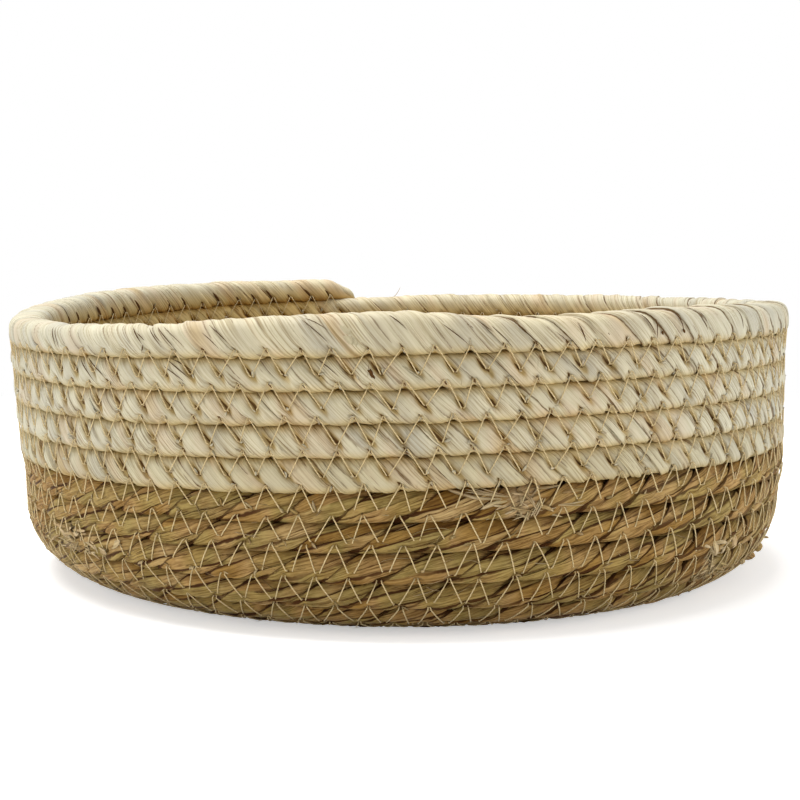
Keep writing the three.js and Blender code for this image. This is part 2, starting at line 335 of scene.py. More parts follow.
SLIT_DEPTH = 0.0005
LEAF_RIDGES = 0.00020
LEAF_LUMPS = 0.00050
LEAF_PLEATS = 0.00030
HOLE_PULL = 0.0007
HOLE_PULL_REACH = 0.0022
THREAD_PRESS = 0.0003
THREAD_PRESS_REACH = 0.0016
FLATTENED_SHARE = 0.85
AT_THREAD = 0.0002
STRAND_SQUARENESS = (3.4, 2.6)
FRAYED_SHARE = 0.40
FRAYED_FROM = 0.002
FRAYED_TO = 0.010
JUST_PAST = 0.01
LEAVES_APART = 13.7
RELIEF_GAIN = 400.0
MERGE_DISTANCE = 0.000001
DROOP_TURNS = 0.1
COVERED_UP_TO = 1.03
LOOK_AHEAD_TURNS = 0.0004
OUTWARD_STEP = 0.001
CENTIMETRES = 100.0

LEAF_TONES = [
    (0.30, (0.185, 0.097, 0.019)), (0.38, (0.275, 0.160, 0.040)), (0.45, (0.335, 0.208, 0.075)),
    (0.50, (0.300, 0.205, 0.062)), (0.56, (0.262, 0.192, 0.060)), (0.63, (0.335, 0.218, 0.080)),
    (0.70, (0.400, 0.275, 0.115)),
]
LEAF_STREAKS = (0.44, 0.35, 0.26, 1), (1.16, 1.18, 1.20, 1)
LEAF_CRUMPLE_SHADE = (0.82, 0.78, 0.73, 1), (1.05, 1.05, 1.07, 1)
LEAF_DARK = (0.046, 0.0135, 0.0015, 1)
ROPE_SEAM_SHADE = (0.48, 0.36, 0.20, 1)
FRAYED_TONES = (0.30, 0.20, 0.09, 1), (0.66, 0.53, 0.33, 1)
UNTINTED = (1, 1, 1, 1)


class Wiring:
    """Adds nodes to a tree. An input takes a number, a colour, a name or another node's socket.
    Where sizes vary along a piece, a share runs from 0 to 1."""

    def __init__(self, tree):
        self.tree = tree

    def join(self, value, socket):
        if isinstance(value, bpy.types.NodeSocket):
            self.tree.links.new(value, socket)
        else:
            socket.default_value = value

    def node(self, kind, sockets=None, **settings):
        made = self.tree.nodes.new(kind)
        for name, value in settings.items():
            setattr(made, name, value)
        for name, value in (sockets or {}).items():
            self.join(value, made.inputs[name])
        return made

    def out(self, kind, sockets=None, **settings):
        return self.node(kind, sockets, **settings).outputs[0]

    def math(self, operation, *values):
        made = self.node("ShaderNodeMath", operation=operation)
        for socket, value in zip(made.inputs, values):
            self.join(value, socket)
        return made.outputs[0]

    def add(self, first, *others):
        for other in others:
            first = self.math("ADD", first, other)
        return first

    def less(self, first, other):
        return self.math("SUBTRACT", first, other)

    def rest(self, share):
        return self.less(1.0, share)

    def times(self, first, *others):
        for other in others:
            first = self.math("MULTIPLY", first, other)
        return first

    def absolute(self, value):
        return self.math("ABSOLUTE", value)

    def to_edge(self, part):
        """How far a share of the way across is from the nearer edge."""
        return self.math("MINIMUM", part, self.rest(part))

    def vector(self, x, y=0.0, z=0.0):
        return self.out("ShaderNodeCombineXYZ", {"X": x, "Y": y, "Z": z})

    def spot(self, first, per_first, second, per_second, batch):
        """Where a pattern is read: how fast it changes in two directions, and in which batch."""
        return self.vector(self.times(first, per_first), self.times(second, per_second), batch)

    def vectors(self, operation, *values, output=0):
        made = self.node("ShaderNodeVectorMath", operation=operation)
        for socket, value in zip(made.inputs, values):
            self.join(value, socket)
        return made.outputs[output]

    def scaled(self, vector, scale):
        made = self.node("ShaderNodeVectorMath", {"Scale": scale}, operation="SCALE")
        self.join(vector, made.inputs[0])
        return made.outputs[0]

    def noise(self, vector, detail=2.0, roughness=0.5):
        made = self.node("ShaderNodeTexNoise", {"Vector": vector, "Scale": 1.0})
        made.inputs["Detail"].default_value = detail
        made.inputs["Roughness"].default_value = roughness
        return made.outputs["Fac"]

    def sway(self, vector, size, detail=1.0):
        """Noise about zero; its size is about the most that it strays."""
        return self.times(self.less(self.noise(vector, detail), 0.5), size * 2)

    def chance(self, vector):
        return self.out("ShaderNodeTexWhiteNoise", {"Vector": vector}, noise_dimensions="3D")

    def ramp(self, value, start, end, low=0.0, high=1.0):
        return self.out("ShaderNodeMapRange", {
            "Value": value, "From Min": start, "From Max": end, "To Min": low, "To Max": high,
        }, interpolation_type="SMOOTHSTEP")

    def fall(self, value, start, end):
        """From one at the start to nothing at the end."""
        return self.ramp(value, start, end, 1.0, 0.0)

    def stripes(self, along, across, batch, per_unit, faint, strong):
        """Dark lines along a leaf: fine fibre lines in places, and creases of painted shade, shadowed on one
        side.
        """
        slow = self.noise(self.spot(along, 0.3, across, 0.8, batch))
        drift = self.less(slow, 0.5)
        place_on = self.times(self.add(across, self.times(drift, 0.35)), per_unit)
        off = self.absolute(self.less(self.math("FRACT", place_on), 0.5))
        patch = self.noise(self.spot(along, 0.9, across, 1.5, self.add(batch, 5.0)))
        wavy = self.noise(self.vector(self.times(along, 4.0), self.math("FLOOR", place_on), batch))
        fine = self.times(self.fall(off, 0.05, 0.22), self.ramp(patch, 0.36, 0.62, 0.10, faint),
                          self.ramp(wavy, 0.3, 0.6, 0.2, 1.0))
        # The creases: a thin dark line of painted shade, and a painted shadow that fades away on one side of
        # it.
        coarse = self.add(self.times(place_on, 0.36), 0.2)
        number, part = self.math("FLOOR", coarse), self.math("FRACT", coarse)
        stretch = self.noise(self.spot(along, 1.2, number, 3.3, batch))
        window = self.times(self.ramp(stretch, 0.45, 0.60),
                            self.math("GREATER_THAN", self.chance(self.vector(number, batch)), 0.50))
        past = self.less(part, 0.3)
        wide = self.times(window, self.ramp(wavy, 0.3, 0.7, 0.04, 0.10))
        bold = self.times(self.fall(self.less(self.absolute(past), wide), -0.02, 0.03),
                          self.ramp(window, 0.0, 0.35), strong)
        shade = self.times(self.ramp(past, 0.0, 0.6, 0.34, 0.0),
                           self.math("GREATER_THAN", past, 0.0), window)
        return self.math("MAXIMUM", fine, self.math("MAXIMUM", bold, self.times(shade, strong)))

    def attribute(self, label):
        return self.node("ShaderNodeAttribute", attribute_name=label).outputs["Fac"]

    def split(self, vector):
        return self.node("ShaderNodeSeparateXYZ", {"Vector": vector}).outputs

    def mixed(self, share, first, second, blend="MIX"):
        made = self.node("ShaderNodeMix", data_type="RGBA", blend_type=blend)
        for index, value in ((0, share), (6, first), (7, second)):
            self.join(value, made.inputs[index])
        return made.outputs[2]

    def colour_ramp(self, share, stops):
        made = self.node("ShaderNodeValToRGB", {"Fac": share})
        elements = made.color_ramp.elements
        while len(elements) < len(stops):
            elements.new(0.5)
        for element, (position, colour) in zip(elements, stops):
            element.position = position
            element.color = (*colour, 1)
        return made.outputs["Color"]

    def tinted(self, colour, tint):
        return self.mixed(1.0, colour, tint, "MULTIPLY")

    def bumped(self, shader, height, strength, distance):
        made = self.out("ShaderNodeBump", {"Height": height, "Strength": strength, "Distance": distance})
        self.join(made, shader.inputs["Normal"])


def start_material(name, specular=0.5):
    """A material, what wires its nodes, and its shader."""
    material = bpy.data.materials.new(name)
    material.use_nodes = True
    shader = material.node_tree.nodes["Principled BSDF"]
    shader.inputs["Specular IOR Level"].default_value = specular
    return material, Wiring(material.node_tree), shader


def leaf_place(wire):
    """How far along its leaf a place is, in centimetres, and how many leaves round."""
    split = wire.split(wire.out("ShaderNodeUVMap", uv_map="leaf_uv"))
    return split["X"], split["Y"]


def leaf_parts(wire, leaf):
    """Which leaf a place is on, and its share of the way across that leaf."""
    leaf = wire.add(leaf, JUST_PAST)
    return wire.math("FLOOR", leaf), wire.math("FRACT", leaf)


def start_tree(name, **kinds):
    """A geometry tree with a mesh going in and out, and the named inputs."""
    tree = bpy.data.node_groups.new(name, "GeometryNodeTree")
    tree.interface.new_socket("Geometry", in_out="INPUT", socket_type="NodeSocketGeometry")
    tree.interface.new_socket("Geometry", in_out="OUTPUT", socket_type="NodeSocketGeometry")
    for label, kind in kinds.items():
        tree.interface.new_socket(label, in_out="INPUT", socket_type="NodeSocket" + kind)
    wire = Wiring(tree)
    return wire, wire.node("NodeGroupInput").outputs


def keep_on_points(wire, geometry, value, label):
    """Captures a number on the points, so that it outlives the sweep."""
    held = wire.node("GeometryNodeCaptureAttribute", {"Geometry": geometry})
    held.capture_items.new("FLOAT", label)
    wire.join(value, held.inputs[label])
    return held.outputs["Geometry"], held.outputs[label]


def paths_from_dots(wire, geometry):
    """Joins the loose points that share a path number into curves."""
    points = wire.out("GeometryNodeMeshToPoints", {"Mesh": geometry})
    number = wire.node("GeometryNodeInputNamedAttribute", {"Name": "path"}, data_type="INT")
    return wire.out("GeometryNodePointsToCurves", {
        "Points": points, "Curve Group ID": number.outputs["Attribute"],
    })


def named(wire, label, kind="FLOAT"):
    """What the points were given under a name."""
    return wire.out("GeometryNodeInputNamedAttribute", {"Name": label}, data_type=kind)


def swept_skin(wire, geometry, sides):
    """A tube of rows along the path, with how far along and how far round each point is."""
    curves = paths_from_dots(wire, geometry)
    length = wire.node("GeometryNodeSplineParameter").outputs["Length"]
    curves, along = keep_on_points(wire, curves, length, "along")
    strip = wire.out("GeometryNodeCurvePrimitiveLine", {"End": (0.001, 0.0, 0.0)})
    rows = wire.math("ADD", sides, 1)
    strip = wire.out("GeometryNodeResampleCurve", {"Curve": strip, "Count": rows})
    share = wire.node("GeometryNodeSplineParameter").outputs["Factor"]
    strip, around = keep_on_points(wire, strip, share, "around")
    mesh = wire.out("GeometryNodeCurveToMesh", {"Curve": curves, "Profile Curve": strip, "Scale": 1.0})
    return mesh, along, around


def ring(wire, around, size):
    """A place on a circle, for noise that must meet itself once round."""
    angle = wire.times(around, FULL_ROUND)
    return wire.times(wire.math("COSINE", angle), size), wire.times(wire.math("SINE", angle), size)


def split_round(wire, around, parts):
    """Which part of the way round a row is in, the edge nearest to it, and how far through."""
    place_round = wire.add(wire.times(around, parts), JUST_PAST)
    number = wire.math("MODULO", wire.math("FLOOR", place_round), parts)
    edge = wire.math("MODULO", wire.math("FLOOR", wire.add(place_round, 0.5)), parts)
    return number, edge, wire.math("FRACT", place_round)


def crowded(wire, around, parts, share):
    """Moves the rows of a tube closer together at the edges of its parts."""
    wave = wire.math("SINE", wire.times(around, parts, FULL_ROUND))
    return wire.less(around, wire.math("DIVIDE", wire.times(wave, share / FULL_ROUND), parts))


def section_place(wire, x, y):
    """The point of the coil's cross-section at x outward and y up the skin."""
    outward = wire.scaled(named(wire, "outward", "FLOAT_VECTOR"), x)
    upward = wire.scaled(named(wire, "upward", "FLOAT_VECTOR"), y)
    spine = named(wire, "spine", "FLOAT_VECTOR")
    return wire.vectors("ADD", spine, wire.vectors("ADD", outward, upward))


def stored(wire, geometry, label, value, kind="FLOAT", domain="POINT"):
    """Keeps a value on the mesh, where its material can read it."""
    return wire.out("GeometryNodeStoreNamedAttribute", {
        "Geometry": geometry, "Name": label, "Value": value,
    }, data_type=kind, domain=domain)


def mapped(wire, mesh, along, leaf):
    """Keeps where each corner is on its leaf, for the material."""
    place_on = wire.vector(wire.times(along, CENTIMETRES), leaf)
    return stored(wire, mesh, "leaf_uv", place_on, "FLOAT2", "CORNER")


def nearest(wire, guide, from_place, kind):
    """The nearest point or edge of a guide: where it is, and how far off."""
    target = wire.node("GeometryNodeObjectInfo", {"Object": guide}).outputs["Geometry"]
    return wire.node("GeometryNodeProximity", {"Target": target, "Source Position": from_place},
                     target_element=kind).outputs


def squared_off(wire, x, y, power):
    """How far a rounded square reaches past a circle in the direction x, y."""
    corner = wire.add(wire.math("POWER", wire.absolute(x), power),
                      wire.math("POWER", wire.absolute(y), power))
    return wire.math("POWER", corner, wire.math("DIVIDE", -1.0, power))


def finish_tree(wire, geometry, material):
    """Closes the seams, drops what only the tree needed and gives the mesh its material."""
    geometry = wire.out("GeometryNodeMergeByDistance", {"Geometry": geometry, "Distance": MERGE_DISTANCE})
    for label in ("spine", "outward", "upward", "forward", "half_width", "half_depth", "path", "covered"):
        geometry = wire.out("GeometryNodeRemoveAttribute", {"Geometry": geometry, "Name": label})
    geometry = wire.out("GeometryNodeSetShadeSmooth", {"Geometry": geometry})
    geometry = wire.out("GeometryNodeRealizeInstances", {"Geometry": geometry})
    geometry = wire.out("GeometryNodeSetMaterial", {"Geometry": geometry, "Material": material})
    output = wire.node("NodeGroupOutput")
    wire.join(geometry, output.inputs[0])


def grow(name, source, tree, body="root", **values):
    """Runs a tree on the source, keeps the plain mesh that it makes and lets the source go."""
    modifier = source.modifiers.new("grow", "NODES")
    modifier.node_group = tree
    for socket in tree.interface.items_tree:
        if socket.in_out == "INPUT" and socket.name in values:
            modifier[socket.identifier] = values[socket.name]
    depsgraph = bpy.context.evaluated_depsgraph_get()
    mesh = bpy.data.meshes.new_from_object(source.evaluated_get(depsgraph), depsgraph=depsgraph)
    source.modifiers.remove(modifier)
    bpy.data.objects.remove(source)
    piece = bpy.data.objects.new(name, mesh)
    mesh.name = name
    bpy.context.collection.objects.link(piece)
    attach(piece, body)
    return piece


def unit(rows):
    """Each row at a length of one."""
    return rows / np.linalg.norm(rows, axis=-1, keepdims=True)


def coil_frame(turns):
    """The middle of the coil, and the ways outward, up the skin and ahead along the coil."""
    def middle(at):
        return place(lower_edge(at) + coil_width(at) / 2, 0, coil_angle(at))

    spine = middle(turns)
    further_out = place(lower_edge(turns) + coil_width(turns) / 2, OUTWARD_STEP, coil_angle(turns))
    outward = unit(further_out - spine)
    forward = unit(middle(turns + LOOK_AHEAD_TURNS) - middle(turns - LOOK_AHEAD_TURNS))
    return spine, outward, unit(np.cross(forward, outward)), forward


def coil_line(name, start, end, spacing):
    """The points along the middle of a length of coil, each with its section's size and axes."""
    turns = turns_apart(start, end, spacing)
    width, depth = coil_width(turns), coil_depth(turns)
    spine, outward, upward, forward = coil_frame(turns)
    run = np.concatenate([[0], np.cumsum(np.linalg.norm(np.diff(spine, axis=0), axis=1))])
    from_end = np.minimum(run, run[-1] - run)
    rounding = np.sqrt(np.clip(1 - (1 - np.clip(from_end / END_ROUNDING, 0, 1)) ** 2, 0, 1))
    droop = (1 - rounding) * width / 2 * (turns > END_TURN - DROOP_TURNS)
    spine = spine - upward * droop[:, None]
    return dots(name, spine, path=np.zeros(len(turns), int), spine=spine, outward=outward, upward=upward,
                forward=forward, half_width=width / 2 * rounding, half_depth=depth / 2 * rounding,
                covered=1 - smooth_step(turns, END_TURN - COVERED_UP_TO, END_TURN - 1),
                frayed=FRAYED_SHARE * (1 - smooth_step(from_end, FRAYED_FROM, FRAYED_TO)))


def strand_tree():
    """One strand of the rope. Its section is a half circle of lapped leaves that turns round the
    rope's middle, is squared where the coil is pressed flat, and is pulled in at the stitches."""
    wire, given = start_tree(
        "twisted_strand", Lay="Float", Plump="Float", Groove="Float", Sides="Int", Leaves="Int",
        Step="Float", Seed="Float", Rope="Float", Phase="Float", Holes="Object", Legs="Object",
        Material="Material")
    mesh, along, around = swept_skin(wire, given["Geometry"], given["Sides"])
    seed = given["Seed"]
    ring_x, ring_y = ring(wire, around, 0.9)
    wander = wire.add(wire.sway(wire.vector(wire.times(along, 17.0), given["Rope"]), ROPE_WANDER),
                      wire.sway(wire.vector(wire.times(along, 45.0), seed), STRAND_WANDER))
    twist = wire.add(wire.math("DIVIDE", along, given["Lay"]), given["Phase"], wander)

    even = crowded(wire, around, given["Leaves"], LEAF_CROWDING)
    bend = wire.sway(wire.vector(wire.add(ring_x, seed), ring_y, wire.times(along, 26.0)), LEAF_BEND, 2.0)
    turned = wire.less(wire.add(even, bend), wire.times(twist, LEAF_TWIST_SHARE))
    angle = wire.times(turned, FULL_ROUND)
    x, y = wire.math("COSINE", angle), wire.math("SINE", angle)
    side = wire.absolute(x)
    spin = wire.times(twist, FULL_ROUND)
    cosine, sine = wire.math("COSINE", spin), wire.math("SINE", spin)
    notch = wire.times(wire.math("POWER", wire.rest(side), 3.5),
                       wire.ramp(wire.absolute(cosine), 0.3, 0.95, 0.65, 2.0))
    depth = wire.noise(wire.vector(wire.times(along, 40.0), wire.add(seed, 3.0), ring_x), 1.0)
    notch = wire.times(notch, wire.ramp(depth, 0.3, 0.7, 0.6, 1.2), wire.ramp(y, -0.4, 0.4, 1.35, 0.45))
    number, edge_number, part = split_round(wire, around, given["Leaves"])
    leaf = wire.add(wire.times(number, LEAVES_APART), part)

    edge_noise = wire.noise(wire.spot(edge_number, 5.3, along, 24.0, seed), 1.0)
    edge = wire.ramp(edge_noise, 0.34, 0.52)
    at_edge = wire.rest(wire.ramp(wire.to_edge(part), 0.0, 0.06))
    shingle = wire.times(wire.less(part, 0.5), edge, given["Step"])
    slit = wire.times(at_edge, edge, -SLIT_DEPTH)
    ridges = wire.sway(wire.spot(along, 16.0, leaf, 3.0, seed), LEAF_RIDGES, 2.0)
    near_x, near_y = ring(wire, around, 1.6)
    lumps = wire.sway(wire.vector(wire.add(near_x, seed), near_y, wire.times(along, 60.0)), LEAF_LUMPS)
    pleats = wire.sway(wire.spot(along, 30.0, leaf, 1.7, wire.add(seed, 6.0)), LEAF_PLEATS)
    rise = wire.add(shingle, slit, ridges, lumps, pleats)

    facing_angle = wire.times(wire.add(turned, twist), FULL_ROUND)
    facing = wire.math("SINE", facing_angle)
    power = wire.ramp(facing, -0.3, 0.3, *STRAND_SQUARENESS)
    squared = squared_off(wire, wire.math("COSINE", facing_angle), facing, power)
    reach = wire.times(wire.rest(wire.times(notch, given["Groove"])), squared, given["Plump"])
    outer_side = wire.math("GREATER_THAN", x, 0.0)
    flat_x = wire.times(x, wire.add(HIDDEN_SIDE_SHARE, wire.times(outer_side, 1 - HIDDEN_SIDE_SHARE)))
    section_x = wire.less(wire.times(flat_x, cosine), wire.times(y, sine))
    section_y = wire.add(wire.times(flat_x, sine), wire.times(y, cosine))
    half_width, half_depth = named(wire, "half_width"), named(wire, "half_depth")

    def at(lift):
        far_x = wire.times(section_x, wire.add(wire.times(reach, half_depth), lift))
        far_y = wire.times(section_y, wire.add(wire.times(reach, half_width), lift))
        return section_place(wire, far_x, far_y)

    shown = wire.math("MINIMUM", 1.0, wire.times(half_width, RELIEF_GAIN))
    first = at(wire.times(rise, shown))
    from_hole = nearest(wire, given["Holes"], first, "POINTS")["Distance"]
    from_thread = nearest(wire, given["Legs"], first, "EDGES")["Distance"]
    pull = wire.ramp(from_hole, AT_THREAD, HOLE_PULL_REACH, -HOLE_PULL, 0.0)
    close = wire.fall(from_thread, AT_THREAD, THREAD_PRESS_REACH)
    pressed = wire.add(wire.times(rise, wire.rest(wire.times(close, FLATTENED_SHARE))),
                       wire.times(close, -THREAD_PRESS))
    mesh = wire.out("GeometryNodeSetPosition", {
        "Geometry": mesh, "Position": at(wire.times(wire.add(pressed, pull), shown)),
    })

    mesh = mapped(wire, mesh, along, wire.times(even, given["Leaves"]))
    mesh = stored(wire, mesh, "outer", x)
    mesh = stored(wire, mesh, "level", wire.times(section_y, squared))
    mesh = stored(wire, mesh, "slit", edge)
    mesh = stored(wire, mesh, "needle", from_hole)
    mesh = stored(wire, mesh, "batch", seed)
    finish_tree(wire, mesh, given["Material"])
    return wire.tree


def seagrass_leaf():
    """Dried seagrass: flat fibrous leaves, olive tan to rust, with painted shade where they tuck under."""
    material, wire, shader = start_material("seagrass_leaf", specular=0.08)
    along, leaf = leaf_place(wire)
    batch = wire.attribute("batch")
    number, part = leaf_parts(wire, leaf)

    tone = wire.noise(wire.spot(along, 0.22, number, 7.31, batch), 2.0, 0.6)
    colour = wire.colour_ramp(tone, LEAF_TONES)
    fibre = wire.noise(wire.spot(along, 0.75, leaf, 10.0, batch), 3.0, 0.7)
    streak = wire.mixed(wire.ramp(fibre, 0.32, 0.58), *LEAF_STREAKS)
    colour = wire.mixed(0.70, colour, streak, "MULTIPLY")
    # Painted shade in the hollows of the crumples: the same noise raises the bump, and its low places are
    # tinted darker.
    crumple = wire.noise(wire.spot(along, 2.2, leaf, 3.5, batch), 2.0, 0.6)
    colour = wire.tinted(colour, wire.mixed(wire.ramp(crumple, 0.32, 0.60), *LEAF_CRUMPLE_SHADE))
    line = wire.rest(wire.stripes(along, leaf, batch, per_unit=6.0, faint=0.58, strong=0.80))
    # Painted shade in the slit along the edge of each lapped leaf, wider in places.
    edge_spread = wire.noise(wire.spot(along, 3.0, number, 5.1, wire.add(batch, 7.0)))
    beside_edge = wire.less(wire.to_edge(part), wire.ramp(edge_spread, 0.3, 0.7, 0.0, 0.035))
    at_edge = wire.fall(beside_edge, 0.010, 0.045)
    cracked = wire.rest(wire.times(wire.attribute("slit"), at_edge, 0.95))
    outer, level = wire.attribute("outer"), wire.attribute("level")
    # Painted shade where one strand tucks under the other, darkest towards the seams.
    wedge = wire.ramp(wire.absolute(level), 0.60, 0.98, 0.0, 0.10)
    deepest = wire.ramp(wire.absolute(level), 0.20, 0.85, 0.42, 0.03)
    tuck_shade = wire.ramp(wire.less(outer, wedge), 0.006, 0.065, deepest, 1.0)
    # Painted shade in and round each needle hole.
    hole_shade = wire.ramp(wire.attribute("needle"), 0.0003, 0.0009, 0.25, 1.0)
    # Painted light: on the right of the basket the darkest places are lifted, as if lit from that side.
    to_right = wire.split(wire.node("ShaderNodeTexCoord").outputs["Object"])["X"]
    painted_right_light = wire.ramp(to_right, 0.04, 0.13, 0.0, 0.30)
    lit = wire.math("MAXIMUM", wire.times(line, cracked, tuck_shade, hole_shade), painted_right_light)
    colour = wire.mixed(lit, LEAF_DARK, colour)
    # Painted shade: each course is darker towards its top, under the course above, and at its very bottom.
    seam_shade_mask = wire.times(wire.ramp(level, 0.25, 1.0, 1.0, 0.62), wire.ramp(level, -1.0, -0.8, 0.60, 1.0))
    colour = wire.tinted(colour, wire.mixed(seam_shade_mask, ROPE_SEAM_SHADE, UNTINTED))
    pale = wire.mixed(wire.ramp(fibre, 0.30, 0.60), *FRAYED_TONES)
    colour = wire.mixed(wire.attribute("frayed"), colour, pale)
    wire.join(colour, shader.inputs["Base Color"])

    wire.join(wire.ramp(fibre, 0.3, 0.7, 0.72, 0.5), shader.inputs["Roughness"])
    height = wire.add(wire.times(fibre, 0.4), wire.times(crumple, 0.9), wire.times(line, 0.35),
                      wire.times(cracked, 0.5))
    wire.bumped(shader, height, strength=0.8, distance=0.0006)
    return material


twisted_strand = strand_tree()
leaf_material = seagrass_leaf()
rope_ends = [-START_TIP_TURNS] + [ROPE_TURNS - before for before in ROPE_SPLICES] + [ROPE_TURNS]

for index, (start, end) in enumerate(zip(rope_ends, rope_ends[1:]), 1):
    on_base = lower_edge(end + 1) < FLAT_RADIUS + ROPE_PITCH
    overlap = ROPE_OVERLAP / (FULL_ROUND * max(ROPE_PITCH * end, SHORTEST_RADIUS))
    node = f"seagrass_rope_{index}"
    spacing = BASE_ROW_SPACING if on_base else ROPE_ROW_SPACING
    strands = []
    for strand in range(2):
        line = coil_line("rope_line", start, end + overlap, spacing)
        strands.append(grow(
            f"{node}_strand_{strand + 1}", line, twisted_strand, Lay=-LAY_LENGTH, Plump=STRAND_PLUMPNESS,
            Groove=STRAND_GROOVE, Step=LEAF_STEP, Sides=BASE_SIDES if on_base else ROPE_SIDES,
            Leaves=LEAVES_ON_BASE if on_base else LEAVES_PER_STRAND,
            Seed=(index * 2 + strand) * STRAND_SEED, Rope=index * ROPE_SEED,
            Phase=strand * 0.5 + index * ROPE_PHASE, Holes=hole_guide, Legs=sewing_guide,
            Material=leaf_material))
    for strand in strands:
        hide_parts(node)


# The corn husk of the upper wall and the rim: strips of pale dried husk wound slantwise over
# the straw, each lapping the last, pale cream with grey, peach and golden strips between. The
# needle pulls them in at every hole. Four wraps make the wall and one the thicker rim.
HUSK_LEAD = 0.036
HUSK_SPLICES = [1.18, 2.07, 3.12]
HUSK_OVERLAP = 0.005
HUSK_ROW_SPACING = 0.0011
HUSK_SIDES = 54
HUSK_SEED = 5.3
STRIPS_PER_WRAP = 3
HUSK_STEP = 0.0008
WALL_UNEVENNESS = 0.0007
RIM_UNEVENNESS = 0.0009
PAD_HEIGHT = 0.00035
RIB_HEIGHT = 0.00009
FOLD_HEIGHT = 0.00030
HUSK_LUMPS = 0.00055
HUSK_THREAD_PRESS = 0.00035
HUSK_PRESS_REACH = 0.0014
HUSK_FLATTENED_SHARE = 0.7
HUSK_SQUARENESS = (4.2, 3.0)
CREASE_DEPTH = 0.001
DIMPLE_DEPTH = 0.0005
DIMPLE_REACH = 0.0026
DIMPLE_BOTTOM = 0.0003
NEAR_HOLE = 0.0068
FAR_FROM_HOLE = 0.0085
SECTION_RADIUS = 0.006
CREASE_STEEPNESS = 2.4
EDGE_HOLE_BELOW = 0.0038
STRIP_BEND = 0.060
TIGHTENED = 0.20

# A crease at a needle hole: its half width, and how far it runs below and above the hole, first
# as it is pressed in and then, in millimetres, as it is darkened with painted shade.
MIDDLE_CREASE = (0.0024, 0.0050, 0.0075)
EDGE_CREASE = (0.0014, 0.0012, 0.0042)
MIDDLE_MARK = (0.56, 1.5, 6.0)
EDGE_MARK = (0.40, 0.9, 2.2)

HUSK_TONES = [
    (0.28, (0.415, 0.382, 0.305)), (0.42, (0.48, 0.432, 0.320)), (0.52, (0.525, 0.475, 0.345)),
    (0.62, (0.50, 0.418, 0.300)), (0.78, (0.43, 0.315, 0.155)),
]
HUSK_STREAKS = (0.62, 0.55, 0.42, 1), (1.12, 1.12, 1.11, 1)
HUSK_DARK = (0.110, 0.052, 0.012, 1)
# Painted shade: golden-brown darkening where the husk is pressed into creases.
CREASE_PAINTED_SHADE = (1.02, 1.02, 1.0, 1), (0.74, 0.60, 0.34, 1)
# Painted shade: golden darkening along the seams between courses and in the pinch under each hole.
SEAM_PAINTED_SHADE = (0.96, 0.79, 0.44, 1)
# Painted shade: golden darkening on the inner side of the wall.
INSIDE_PAINTED_SHADE = (0.98, 0.80, 0.46, 1)
# Painted light: warmer at the middle of the basket and cooler at its left and right sides, as the light
# falls there.
SIDE_PAINTED_LIGHT = (0.97, 0.96, 0.93, 1), (0.91, 0.95, 1.01, 1)
LOWEST_WRAP_TINT = (0.92, 0.90, 0.84, 1)


def past_nearest_hole(wire, holes, side, level):
    """How far a row is past the nearest needle hole, which hole that is, and if it is near."""
    look_from = section_place(wire, wire.times(named(wire, "half_depth"), side),
                              wire.times(named(wire, "half_width"), level))
    near = nearest(wire, holes, look_from, "POINTS")
    away = wire.vectors("SUBTRACT", named(wire, "spine", "FLOAT_VECTOR"), near["Position"])
    past = wire.vectors("DOT_PRODUCT", away, named(wire, "forward", "FLOAT_VECTOR"), output=1)
    one_value = wire.chance(wire.scaled(near["Position"], MILLIMETRES))
    return past, one_value, wire.fall(near["Distance"], NEAR_HOLE, FAR_FROM_HOLE)


